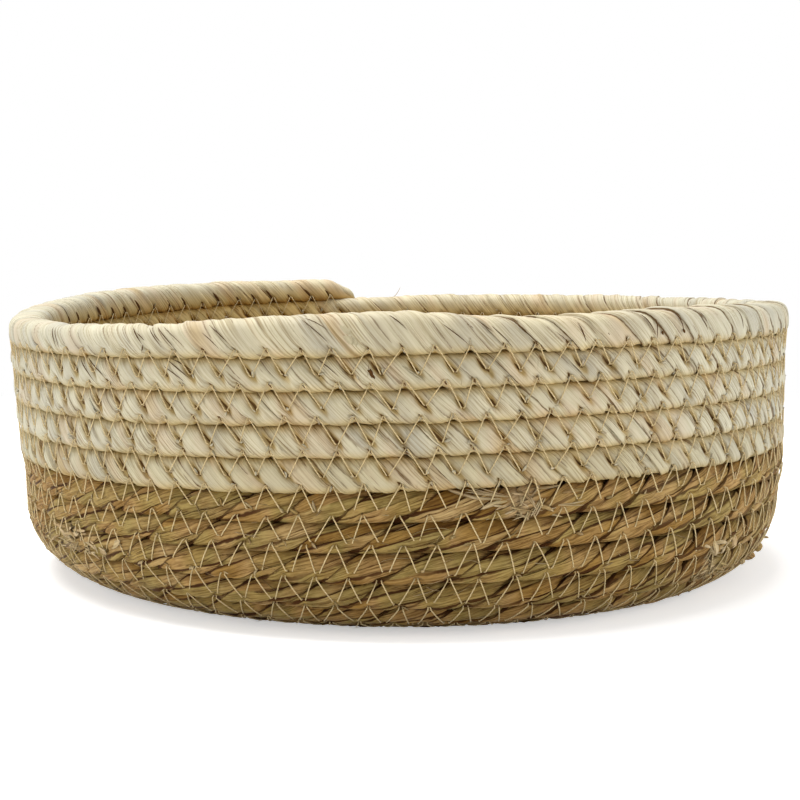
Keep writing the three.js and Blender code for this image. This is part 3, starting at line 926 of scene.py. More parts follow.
def husk_tree():
    """The strips wound round one stretch of straw: three lapped strips in a spiral, ribbed and
    folded, with a valley at each needle hole and a pinch under it."""
    wire, given = start_tree(
        "wound_husk", Lead="Float", Plump="Float", Sides="Int", Strips="Int", Step="Float", Uneven="Float",
        Seed="Float", Legs="Object", Middles="Object", Edges="Object", Material="Material")
    mesh, along, around = swept_skin(wire, given["Geometry"], given["Sides"])
    seed = given["Seed"]
    even = crowded(wire, around, given["Strips"], LEAF_CROWDING)
    ring_x, ring_y = ring(wire, around, 1.1)
    bend = wire.sway(wire.vector(wire.add(ring_x, seed), ring_y, wire.times(along, 30.0)), STRIP_BEND)
    turned = wire.add(even, bend, wire.math("DIVIDE", along, given["Lead"]))
    angle = wire.times(turned, FULL_ROUND)
    angle = wire.less(angle, wire.times(wire.math("COSINE", angle), TIGHTENED))
    x, y = wire.math("COSINE", angle), wire.math("SINE", angle)
    power = wire.ramp(y, -0.3, 0.3, *HUSK_SQUARENESS)
    squared = wire.times(squared_off(wire, x, y, power), given["Plump"])
    number, edge_number, part = split_round(wire, around, given["Strips"])
    leaf = wire.add(wire.times(number, LEAVES_APART), part)

    edge_noise = wire.noise(wire.spot(edge_number, 5.3, along, 22.0, seed), 1.0)
    edge = wire.ramp(edge_noise, 0.42, 0.54)
    beside_edge = wire.to_edge(part)
    at_edge = wire.rest(wire.ramp(beside_edge, 0.0, 0.03))
    shingle = wire.times(wire.less(0.5, part), edge, given["Step"])
    slit = wire.times(at_edge, edge, -SLIT_DEPTH)
    beside_edge = wire.math("MAXIMUM", beside_edge, 0.0)
    pad = wire.times(wire.math("POWER", wire.times(beside_edge, 2.0), 0.5), PAD_HEIGHT)
    ribbed = wire.noise(wire.vector(wire.times(along, 40.0), wire.add(seed, 5.0), leaf))
    ribbed = wire.add(0.15, wire.ramp(ribbed, 0.42, 0.66))
    ribs = wire.sway(wire.spot(along, 12.0, leaf, 6.5, seed), RIB_HEIGHT, 2.0)
    rumpled = wire.noise(wire.vector(wire.times(along, 14.0), wire.add(seed, 2.0), ring_x))
    rumpled = wire.ramp(rumpled, 0.40, 0.62, 0.4, 1.9)
    folds = wire.sway(wire.spot(along, 24.0, leaf, 2.0, seed), FOLD_HEIGHT)
    near_x, near_y = ring(wire, around, 1.3)
    lumps = wire.sway(wire.vector(wire.add(near_x, seed), near_y, wire.times(along, 60.0)), HUSK_LUMPS)
    thick = wire.sway(wire.vector(wire.times(along, 32.0), wire.add(seed, 8.0), ring_y), 1.0)
    thick = wire.times(thick, given["Uneven"])
    rise = wire.add(shingle, slit, pad, wire.times(ribs, ribbed), wire.times(folds, rumpled), lumps, thick)
    half_width, half_depth = named(wire, "half_width"), named(wire, "half_depth")

    def at(lift):
        narrowing = wire.rest(wire.times(y, COIL_TOP_NARROWING))
        far_x = wire.times(x, wire.add(wire.times(squared, half_depth, narrowing), lift))
        far_y = wire.times(y, wire.add(wire.times(squared, half_width), lift))
        return section_place(wire, far_x, far_y)

    side = wire.math("SIGN", x)
    height = wire.times(wire.math("ARCTAN2", y, wire.absolute(x)), SECTION_RADIUS)
    steep = wire.math("DIVIDE", CREASE_STEEPNESS * math.pi * SECTION_RADIUS, given["Lead"])
    share = wire.math("INVERSE_SQRT", wire.add(1.0, wire.times(steep, steep)))

    def through_hole(past, up):
        """How far a point lies to the side of the crease through a hole, and how far along it."""
        aside = wire.times(wire.less(up, wire.times(past, steep)), share)
        return aside, wire.times(wire.add(past, wire.times(up, steep)), share)

    def valley(aside, length, half, below, above):
        """A sharp valley along the crease, deepest at its needle hole."""
        window = wire.times(wire.ramp(length, -below, 0.0), wire.fall(length, above * 0.2, above))
        open_side = wire.rest(wire.math("DIVIDE", wire.absolute(aside), half))
        return wire.times(wire.math("POWER", wire.math("MAXIMUM", open_side, 0.0), 1.6), window)

    past_middle, middle_size, middle_near = past_nearest_hole(wire, given["Middles"], side, 0.0)
    middle_aside, middle_length = through_hole(past_middle, wire.times(height, side))
    deep = wire.times(valley(middle_aside, middle_length, *MIDDLE_CREASE),
                      wire.add(0.55, wire.times(middle_size, 0.75)), middle_near)
    past_edge, edge_size, edge_near = past_nearest_hole(wire, given["Edges"], side, -0.5)
    over_edge = wire.add(height, EDGE_HOLE_BELOW)
    edge_aside, edge_length = through_hole(past_edge, wire.times(over_edge, side))
    short = wire.times(valley(edge_aside, edge_length, *EDGE_CREASE),
                       wire.add(0.3, wire.times(edge_size, 0.7)), edge_near)
    under_hole = wire.math("MAXIMUM", wire.times(over_edge, -1.0), 0.0)
    spread = wire.add(wire.times(under_hole, 0.55), 0.0003)
    off_pinch = wire.math("DIVIDE", wire.absolute(past_edge), spread)
    pinch = wire.times(wire.fall(off_pinch, 0.55, 1.25), wire.ramp(under_hole, 0.0002, 0.0024),
                       edge_near)
    dimple = wire.math("SQRT", wire.add(wire.times(past_edge, past_edge), wire.times(over_edge, over_edge)))
    dimple = wire.times(wire.fall(dimple, DIMPLE_BOTTOM, DIMPLE_REACH), edge_near)

    shown = wire.math("MINIMUM", 1.0, wire.times(half_width, RELIEF_GAIN))
    first = at(wire.times(rise, shown))
    from_thread = nearest(wire, given["Legs"], first, "EDGES")["Distance"]
    close = wire.fall(from_thread, AT_THREAD, HUSK_PRESS_REACH)
    pressed = wire.add(wire.times(rise, wire.rest(wire.times(close, HUSK_FLATTENED_SHARE))),
                       wire.times(close, -HUSK_THREAD_PRESS))
    creased = wire.add(wire.times(deep, 1.6), wire.times(short, 0.9), pinch)
    sunk = wire.add(pressed, wire.times(creased, -CREASE_DEPTH), wire.times(dimple, -DIMPLE_DEPTH))
    mesh = wire.out("GeometryNodeSetPosition", {"Geometry": mesh, "Position": at(wire.times(sunk, shown))})

    mesh = mapped(wire, mesh, along, wire.times(even, given["Strips"]))
    mesh = stored(wire, mesh, "slit", edge)
    mesh = stored(wire, mesh, "creased", creased)
    for label, aside, length, past, size, near in (
            ("middle", middle_aside, middle_length, past_middle, middle_size, middle_near),
            ("edge", edge_aside, edge_length, past_edge, edge_size, edge_near)):
        mesh = stored(wire, mesh, label + "_crease", wire.vector(
            wire.times(aside, MILLIMETRES), wire.times(length, MILLIMETRES),
            wire.times(wire.absolute(past), MILLIMETRES)), "FLOAT_VECTOR")
        mesh = stored(wire, mesh, label + "_size", wire.times(size, near))
    # Where the painted seam shade falls: near the top and bottom of the section, but not on the rim's open
    # top, and in the pinches.
    mesh = stored(wire, mesh, "seam", wire.math("MAXIMUM", wire.times(
        wire.absolute(y), wire.ramp(y, 0.0, 0.1, 1.0, named(wire, "covered"))), pinch))
    # Where the painted shade of the inside falls: the inner side of the coil, and on the rim only its lower
    # part.
    mesh = stored(wire, mesh, "inside", wire.times(
        wire.fall(x, -0.35, 0.0),
        wire.math("MAXIMUM", named(wire, "covered"), wire.fall(y, -0.6, 0.8))))
    mesh = stored(wire, mesh, "batch", seed)
    finish_tree(wire, mesh, given["Material"])
    return wire.tree


def dark_crease(wire, label, ragged, half, below, above):
    """The dark line of painted shade in the crease at a needle hole, longer and wider where the hole pulls
    more.
    """
    crease = wire.node("ShaderNodeAttribute", attribute_name=label + "_crease").outputs["Vector"]
    place_on = wire.split(crease)
    size = wire.attribute(label + "_size")
    aside, length, past = place_on["X"], place_on["Y"], place_on["Z"]
    reach = wire.times(wire.add(size, 0.35), above)
    window = wire.times(wire.ramp(length, -below, 0.0),
                        wire.fall(wire.math("DIVIDE", length, reach), 0.0, 1.0))
    wide = wire.times(window, wire.add(size, 0.30), half)
    aside = wire.add(wire.absolute(aside), wire.times(ragged, 0.5))
    inside = wire.fall(wire.math("DIVIDE", aside, wire.add(wide, 0.02)), 0.5, 1.3)
    return wire.times(inside, wire.ramp(window, 0.0, 0.3), wire.fall(past, 4.0, 4.6),
                      wire.ramp(size, 0.0, 0.03))


def dried_husk(name, faint, open_edges):
    """Dried corn husk: papery, finely ribbed along each strip, cream with stains; painted shade in its
    creases, seams and inside, and painted light at its sides.
    """
    material, wire, shader = start_material(name, specular=0.15)
    along, leaf = leaf_place(wire)
    batch = wire.attribute("batch")
    number, part = leaf_parts(wire, leaf)

    across = wire.add(wire.times(number, 7.31), wire.times(leaf, 0.5))
    tone = wire.noise(wire.vector(wire.times(along, 0.35), across, batch), 2.0, 0.6)
    colour = wire.colour_ramp(tone, HUSK_TONES)
    ribs = wire.noise(wire.spot(along, 0.50, leaf, 15.0, batch), 3.0, 0.7)
    streak = wire.mixed(wire.ramp(ribs, 0.32, 0.56), *HUSK_STREAKS)
    ribbed = wire.noise(wire.spot(along, 0.5, number, 3.1, wire.add(batch, 4.0)))
    colour = wire.mixed(wire.ramp(ribbed, 0.35, 0.65, 0.40, 1.0), colour, streak, "MULTIPLY")
    faint = wire.ramp(ribbed, 0.40, 0.60, faint * 0.3, faint * 1.5)
    line = wire.rest(wire.stripes(along, leaf, batch, per_unit=9.0, faint=faint, strong=0.62))
    # Painted shade in the slit along the edge of each lapped strip, wider in places and darker on the rim.
    edge_spread = wire.noise(wire.spot(along, 3.0, number, 5.1, wire.add(batch, 7.0)))
    beside_edge = wire.less(wire.to_edge(part), wire.ramp(edge_spread, 0.35, 0.65, 0.0, 0.020))
    at_edge = wire.fall(beside_edge, 0.004, 0.016)
    opened = wire.ramp(edge_spread, 0.32, 0.60, 0.15, open_edges)
    cracked = wire.rest(wire.times(wire.attribute("slit"), at_edge, opened))
    ragged = wire.less(wire.noise(wire.spot(along, 9.0, leaf, 7.0, batch)), 0.5)
    # The dark lines of the creases at the needle holes are painted shade.
    marks = wire.math("MAXIMUM", dark_crease(wire, "middle", ragged, *MIDDLE_MARK),
                      dark_crease(wire, "edge", ragged, *EDGE_MARK))
    lit = wire.times(line, cracked, wire.rest(wire.times(marks, 0.93)))
    colour = wire.mixed(lit, HUSK_DARK, colour)

    to_side = wire.absolute(wire.split(wire.node("ShaderNodeTexCoord").outputs["Object"])["X"])
    for tint in (wire.mixed(wire.ramp(wire.attribute("creased"), 0.05, 0.9), *CREASE_PAINTED_SHADE),
                 wire.mixed(wire.ramp(wire.attribute("seam"), 0.35, 1.0), UNTINTED, SEAM_PAINTED_SHADE),
                 wire.mixed(wire.attribute("inside"), UNTINTED, INSIDE_PAINTED_SHADE),
                 wire.mixed(wire.ramp(to_side, 0.05, 0.14), *SIDE_PAINTED_LIGHT),
                 wire.mixed(wire.ramp(batch, HUSK_SEED, HUSK_SEED * 2), LOWEST_WRAP_TINT, UNTINTED)):
        colour = wire.tinted(colour, tint)
    wire.join(colour, shader.inputs["Base Color"])

    wire.join(wire.ramp(ribs, 0.3, 0.7, 0.68, 0.48), shader.inputs["Roughness"])
    height = wire.add(wire.times(ribs, 0.6), wire.times(line, 0.5), wire.times(cracked, 0.5))
    wire.bumped(shader, height, strength=0.7, distance=0.0005)
    return material


wound_husk = husk_tree()
husk_material = dried_husk("dried_husk", faint=0.31, open_edges=0.80)
rim_material = dried_husk("rim_husk", faint=0.28, open_edges=0.95)
husk_ends = [ROPE_TURNS + after for after in [0] + HUSK_SPLICES + [HUSK_TURNS - 1, HUSK_TURNS]]
husk_nodes = ["husk_wrap_1", "husk_wrap_2", "husk_wrap_3", "husk_wrap_4", "husk_wrap_rim"]

for index, (node, start, end) in enumerate(zip(husk_nodes, husk_ends, husk_ends[1:]), 1):
    overlap = HUSK_OVERLAP / (FULL_ROUND * RIM_SKIN_RADIUS)
    line = coil_line("husk_line", start - overlap, min(end + overlap, END_TURN), HUSK_ROW_SPACING)
    on_rim = node == "husk_wrap_rim"
    wrap = grow(node + "_strips", line, wound_husk, Lead=HUSK_LEAD, Plump=COIL_PLUMPNESS,
                Sides=HUSK_SIDES, Strips=STRIPS_PER_WRAP, Step=HUSK_STEP, Seed=index * HUSK_SEED,
                Uneven=RIM_UNEVENNESS if on_rim else WALL_UNEVENNESS, Legs=sewing_guide,
                Middles=middle_hole_guide, Edges=edge_hole_guide,
                Material=rim_material if on_rim else husk_material)
    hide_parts(node)


# The straw that the husk is wound on: two bundles of dry stems laid end to end, seen only where
# a strip gapes. The bundle is thinner where the rim is thinner, and its stems twist slowly.
CORE_SPLICE = 2.6
CORE_SHARE = 0.66
STEM_LAY = 0.19
STEMS = 9
STEM_ROW_SPACING = 0.004
STEM_RIDGE = 0.14
STRAW_DENTS = 0.10
SIDES_PER_STEM = 3
STRAW_TONES = (0.24, 0.145, 0.055, 1), (0.60, 0.45, 0.22, 1)
STRAW_GROOVE_SHADE = (0.09, 0.045, 0.014, 1)


def bundle_tree():
    """A bundle of straw: a ridge for each stem that shows on its outside, in a slow spiral."""
    wire, given = start_tree("bundled_straw", Sides="Int", Stems="Int", Share="Float", Lay="Float",
                             Seed="Float", Material="Material")
    mesh, along, around = swept_skin(wire, given["Geometry"], given["Sides"])
    turned = wire.add(around, wire.math("DIVIDE", along, given["Lay"]))
    angle = wire.times(turned, FULL_ROUND)
    stem = wire.absolute(wire.math("SINE", wire.times(around, given["Stems"], math.pi)))
    ring_x, ring_y = ring(wire, around, 1.2)
    dent = wire.vector(wire.add(ring_x, given["Seed"]), ring_y, wire.times(along, 40.0))
    dent = wire.sway(dent, STRAW_DENTS)
    size = wire.times(wire.add(1 - STEM_RIDGE, wire.times(stem, STEM_RIDGE), dent), given["Share"])
    x = wire.times(wire.math("COSINE", angle), size, named(wire, "half_depth"))
    y = wire.times(wire.math("SINE", angle), size, named(wire, "half_width"))
    mesh = wire.out("GeometryNodeSetPosition", {"Geometry": mesh, "Position": section_place(wire, x, y)})
    mesh = mapped(wire, mesh, along, wire.times(around, given["Stems"]))
    finish_tree(wire, mesh, given["Material"])
    return wire.tree


def dry_straw():
    """Dry straw: thin golden stems, with painted shade in the grooves between them."""
    material, wire, shader = start_material("dry_straw", specular=0.2)
    along, stem = leaf_place(wire)
    grain = wire.noise(wire.spot(along, 0.6, stem, 4.0, 3.0), 3.0, 0.6)
    colour = wire.mixed(wire.ramp(grain, 0.3, 0.65), *STRAW_TONES)
    across = wire.absolute(wire.less(wire.math("FRACT", stem), 0.5))
    colour = wire.mixed(wire.ramp(across, 0.30, 0.48), colour, STRAW_GROOVE_SHADE)
    wire.join(colour, shader.inputs["Base Color"])
    shader.inputs["Roughness"].default_value = 0.7
    return material


bundled_straw = bundle_tree()
straw_material = dry_straw()
for node, start, end in (("straw_core_lower", ROPE_TURNS, ROPE_TURNS + CORE_SPLICE),
                         ("straw_core_upper", ROPE_TURNS + CORE_SPLICE, END_TURN - RIM_TAPER_TURNS)):
    line = coil_line("straw_line", start, end, STEM_ROW_SPACING)
    core = grow(node + "_stems", line, bundled_straw, Sides=STEMS * SIDES_PER_STEM, Stems=STEMS,
                Share=CORE_SHARE, Lay=STEM_LAY, Seed=start, Material=straw_material)
    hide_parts(node)


# The torn and frayed bits: the tips of the leaves where one rope is spliced to the next, loose
# fibres, and the scraps of leaf and husk that the needle tears up at its holes. They are flat
# slivers that leave the surface of the coil and curl, pale where they have frayed.
SURFACE_SQUARENESS = 2.8
SURFACE_PLUMPNESS = 1.04
LEAST_RADIUS = 0.005
CLIMB_RADIUS = 0.0056
ROOT_DEPTH = 0.0002
SLIVER_SEED = 3.17
FRAYED_AT_ROOT = 0.35
SCRAP_SEED = 23
SPLICES_ON_WALL_FROM = 3
TIPS_PER_SPLICE = 16
CURLS_PER_SPLICE = 10
LOOSE_FIBRES = 420
FIBRE_TURNS = 6.0
SCRAPS_FROM_TURN = 2
TORN_SHARE_OF_HOLES = 0.30
FLUFFY_SHARE_OF_HOLES = 0.75
PEELS = 30
PEEL_HEADING = 0.87
GAP_SHADE_BROWN = (0.078, 0.035, 0.010, 1)


def torn_leaf_tree():
    """A flat sliver along each line, with a sharp edge on both sides."""
    wire, given = start_tree("torn_leaf", Sides="Int", Material="Material")
    mesh, along, around = swept_skin(wire, given["Geometry"], given["Sides"])
    angle = wire.times(around, FULL_ROUND)
    x = wire.times(wire.math("COSINE", angle), named(wire, "half_depth"))
    y = wire.times(wire.math("SINE", angle), named(wire, "half_width"))
    mesh = wire.out("GeometryNodeSetPosition", {"Geometry": mesh, "Position": section_place(wire, x, y)})
    across = wire.add(wire.times(wire.absolute(wire.less(around, 0.5)), 1.6), 0.1)
    mesh = mapped(wire, mesh, along, across)
    for label in ("outer", "needle"):
        mesh = stored(wire, mesh, label, 1.0)
    finish_tree(wire, mesh, given["Material"])
    return wire.tree


def slivers(name, turn, climb, heading, length, width, lift, curl, thick, frayed, points,
            clear=0.0, blunt=0.5):
    """Lines of slivers that start on the coil: climb is the angle round its section, and
    heading the way they run, from straight ahead towards up the skin."""
    share = np.linspace(0, 1, points)
    column = [np.asarray(v, float).reshape(-1, 1) * np.ones((len(turn), 1))
              for v in (turn, climb, heading, length, width, lift, curl, thick, frayed)]
    turn, climb, heading, length, width, lift, curl, thick, frayed = column
    way = heading + curl * share ** 1.5
    step = length / (points - 1)
    ahead = np.cumsum(np.cos(way) * step, axis=1) - np.cos(way[:, :1]) * step
    up = np.cumsum(np.sin(way) * step, axis=1) - np.sin(way[:, :1]) * step
    radius, _ = skin_point(lower_edge(turn), 0)
    at = turn + ahead / (FULL_ROUND * np.maximum(radius, LEAST_RADIUS))
    round_it = climb + up / CLIMB_RADIUS
    spine, outward, upward, _ = coil_frame(at)
    cosine, sine = np.cos(round_it)[..., None], np.sin(round_it)[..., None]
    corner = np.abs(cosine) ** SURFACE_SQUARENESS + np.abs(sine) ** SURFACE_SQUARENESS
    fullness = (corner ** (-1 / SURFACE_SQUARENESS)) * SURFACE_PLUMPNESS
    normal = outward * cosine + upward * sine
    line = spine + fullness * (outward * cosine * coil_depth(at)[..., None] / 2
                               + upward * sine * coil_width(at)[..., None] / 2)
    line = line + normal * (clear + lift * share ** 2 - ROOT_DEPTH * (1 - share))[..., None]
    forward = unit(np.gradient(line, axis=1))
    side = unit(np.cross(forward, normal))
    normal = np.cross(side, forward)
    shape = np.sin(math.pi * np.clip(share, 0, 1)) ** blunt
    numbers = np.repeat(np.arange(len(line)), points)
    flat = [v.reshape(-1, 3) for v in (line, normal, side, forward)]
    batch = np.repeat(np.arange(len(line)) * SLIVER_SEED, points)
    return dots(name, flat[0], path=numbers, spine=flat[0], outward=flat[1], upward=flat[2],
                forward=flat[3], half_width=(width / 2 * shape).ravel(),
                half_depth=(thick / 2 * shape).ravel(), batch=batch,
                frayed=(frayed * (FRAYED_AT_ROOT + (1 - FRAYED_AT_ROOT) * share)).ravel())


def painted_gap_shade():
    """Painted shade: a dark sheet laid on the coil at its gaps, tears and deep creases."""
    material, _, shader = start_material("painted_gap_shade", specular=0.1)
    shader.inputs["Base Color"].default_value = GAP_SHADE_BROWN
    shader.inputs["Roughness"].default_value = 0.9
    return material


torn_leaf = torn_leaf_tree()
scrap_rng = np.random.default_rng(SCRAP_SEED)


def some(low, high, count):
    """As many random numbers as are asked for, between two limits."""
    return scrap_rng.uniform(low, high, count)


def either_way(count):
    """Headings along the coil, half of them ahead and half of them back."""
    return np.where(scrap_rng.random(count) < 0.5, 0.0, math.pi)


splice_turns = np.array([ROPE_TURNS - before for before in ROPE_SPLICES[SPLICES_ON_WALL_FROM:]])
tips = np.repeat(splice_turns, TIPS_PER_SPLICE)
count = len(tips)
splice_line = slivers(
    "splice_line", tips + scrap_rng.normal(0, 0.006, count), some(-1.0, 1.0, count),
    either_way(count) + some(-0.35, 0.35, count), some(0.005, 0.014, count), some(0.0005, 0.0017, count),
    some(0.0006, 0.0020, count), some(-0.35, 0.35, count), 0.0004, some(0.2, 1.0, count), 9, blunt=0.3)
curls = np.repeat(splice_turns, CURLS_PER_SPLICE)
count = len(curls)
curl_line = slivers(
    "curl_line", curls + scrap_rng.normal(0, 0.004, count), some(-1.0, 0.9, count),
    some(0, FULL_ROUND, count), some(0.004, 0.010, count), some(0.0004, 0.0011, count),
    some(0.0010, 0.0030, count), some(-2.2, 2.2, count), 0.00025, some(0.6, 1.0, count), 8)
count = LOOSE_FIBRES
on_rope = some(ROPE_TURNS - FIBRE_TURNS, ROPE_TURNS, count)
turned_in = scrap_rng.random(count) < 0.3
fibre_line = slivers(
    "fibre_line", on_rope, some(-1.1, 1.1, count) + math.pi * turned_in,
    either_way(count) + some(-0.7, 0.7, count), some(0.004, 0.015, count),
    some(0.00022, 0.00050, count), some(0.0003, 0.0019, count),
    some(-1.0, 1.0, count), 0.00018, some(0.1, 0.8, count), 7)
marks = np.concatenate([outer_marks, inner_marks])
turned_in = np.repeat([0, 1], [len(outer_marks), len(inner_marks)])
torn_up = scrap_rng.random(len(marks)) < TORN_SHARE_OF_HOLES
chosen = (marks[:, 0] < ROPE_TURNS) & (marks[:, 0] > SCRAPS_FROM_TURN) & torn_up
count = chosen.sum()
climb = np.where(turned_in == 1, math.pi - marks[:, 1], marks[:, 1])[chosen]
scrap_line = slivers(
    "leaf_scrap_line", marks[chosen, 0], climb, some(0, FULL_ROUND, count), some(0.0015, 0.0040, count),
    some(0.0007, 0.0015, count), some(0.0004, 0.0012, count), some(-0.8, 0.8, count), 0.0003,
    some(0.0, 0.8, count), 5)
for name, line, sides in (("spliced_leaf_tips", splice_line, 6), ("frayed_curls", curl_line, 4),
                          ("loose_fibres", fibre_line, 3), ("torn_leaf_scraps", scrap_line, 4)):
    torn = grow(name, line, torn_leaf, Sides=sides, Material=leaf_material)

# One row each: the turn (after the end of the rope) and climb of its two ends, then its width,
# and for the tips and flakes the lift, curl, thickness and how frayed it is.
LEAF_TIPS = np.array([
    (-3.6750, 0.55, -3.6790, 0.56, 0.0012, 0.0026, 0.3, 0.0005, 0.3),
    (-3.6660, 0.15, -3.6714, -0.06, 0.0044, 0.0024, 0.2, 0.0012, 0.1),
    (-3.6520, -0.25, -3.6587, -0.36, 0.0050, 0.0022, 0.1, 0.0012, 0.1),
    (-3.6400, -0.10, -3.6452, -0.43, 0.0030, 0.0016, 0.3, 0.0006, 0.6),
    (-2.6030, 0.10, -2.6095, 0.05, 0.0016, 0.0014, 0.2, 0.0004, 1),
    (-2.6040, -0.30, -2.6100, -0.35, 0.0014, 0.0012, -0.2, 0.0004, 0.9),
    (-2.6330, -0.10, -2.6260, -0.85, 0.0028, 0.0006, 0.2, 0.0005, 0.6),
    (-2.6180, 0.40, -2.6080, -0.40, 0.0012, 0.0012, 0.3, 0.0004, 1),
    (-2.6014, 0.30, -2.6058, -0.75, 0.0026, 0.0015, 0.2, 0.0004, 1),
    (-2.6097, 0.35, -2.6108, -0.85, 0.0022, 0.0013, -0.2, 0.0004, 0.9),
    (-2.5950, 0.12, -2.5978, 0.02, 0.0014, 0.0018, 0.4, 0.0004, 1),
    (-2.6155, 0.45, -2.6200, -0.75, 0.0034, 0.0008, 0.0, 0.0004, 0.6),
    (-2.5985, 0.00, -2.6040, -0.70, 0.0006, 0.0017, 0.5, 0.0004, 0.9),
    (-2.6032, -0.05, -2.5972, -0.80, 0.0005, 0.0019, -0.5, 0.0004, 0.8),
    (-2.6000, 0.30, -2.6012, -0.90, 0.0005, 0.0016, 0.3, 0.0004, 0.7),
    (-2.6062, -0.45, -2.5990, -0.62, 0.0006, 0.0018, 0.6, 0.0004, 0.9),
    (-2.5988, -0.85, -2.6096, -0.60, 0.0005, 0.0014, -0.3, 0.0004, 0.8),
    (-2.3320, 0.66, -2.3372, 0.66, 0.0014, 0.0012, 0.1, 0.0005, 1),
    (-2.3330, 0.38, -2.3440, 0.46, 0.0018, 0.0014, -0.2, 0.0005, 0.9),
    (-2.3420, 0.40, -2.3448, 0.10, 0.0011, 0.0010, 0.2, 0.0004, 1),
    (-2.3615, 0.12, -2.3685, 0.62, 0.0030, 0.0012, 0.1, 0.0005, 0.7),
    (-2.3535, -0.48, -2.3605, -0.20, 0.0024, 0.0010, 0.1, 0.0005, 0.8),
    (-2.3480, 0.30, -2.3560, -0.35, 0.0010, 0.0014, 0.6, 0.0004, 0.9),
    (-2.3500, 0.20, -2.3610, -0.12, 0.0009, 0.0014, -0.5, 0.0004, 0.9),
    (-2.3450, 0.10, -2.3500, -0.60, 0.0009, 0.0012, 0.4, 0.0004, 0.8),
    (-0.5125, 0.40, -0.4962, 0.84, 0.0006, 0.0012, 0.1, 0.0004, 1),
    (-0.5120, 0.34, -0.4960, 0.70, 0.0005, 0.0016, -0.2, 0.0004, 0.9),
    (-0.5115, 0.42, -0.4978, 0.96, 0.0005, 0.0010, 0.2, 0.0004, 0.9),
    (-0.5118, 0.30, -0.4958, 0.52, 0.0009, 0.0012, 0.2, 0.0004, 1),
    (-0.5100, 0.38, -0.4985, 0.62, 0.0004, 0.0014, -0.1, 0.0004, 0.8),
    (-0.5130, 0.24, -0.4970, 0.42, 0.0005, 0.0010, 0.1, 0.0004, 0.9),
    (-0.5105, 0.50, -0.5000, 1.02, 0.0004, 0.0012, 0.1, 0.0004, 0.9),
    (-0.5065, -0.86, -0.5033, -0.80, 0.0008, 0.0012, 0.2, 0.0004, 1),
    (-0.5178, 0.45, -0.5190, -0.05, 0.0006, 0.0026, 0.9, 0.0004, 1),
    (-0.5225, 0.30, -0.5184, -0.72, 0.0006, 0.0016, 0.1, 0.0004, 1),
    (-0.5233, 0.32, -0.5191, -0.70, 0.0006, 0.0018, 0.1, 0.0004, 0.8),
    (-0.5241, 0.26, -0.5200, -0.74, 0.0005, 0.0016, 0.1, 0.0004, 1),
    (-0.5140, 0.10, -0.5175, -0.20, 0.0005, 0.0014, 0.4, 0.0004, 1),
    (-1.2642, 0.35, -1.2705, 0.40, 0.0003, 0.0050, 0.2, 0.0003, 0.6),
    (4.0203, 1.30, 4.0255, 1.34, 0.0003, 0.0055, 0.1, 0.0003, 0.9),
])
HUSK_FLAKES = np.array([
    (4.5425, 0.75, 4.5393, 0.09, 0.0030, 0.0007, 0.3, 0.0004, 0),
    (4.5410, 0.30, 4.5386, -0.33, 0.0030, 0.0009, -0.4, 0.0004, 0),
    (4.5400, 0.02, 4.5370, -0.35, 0.0024, 0.0011, 0.4, 0.0004, 0),
])
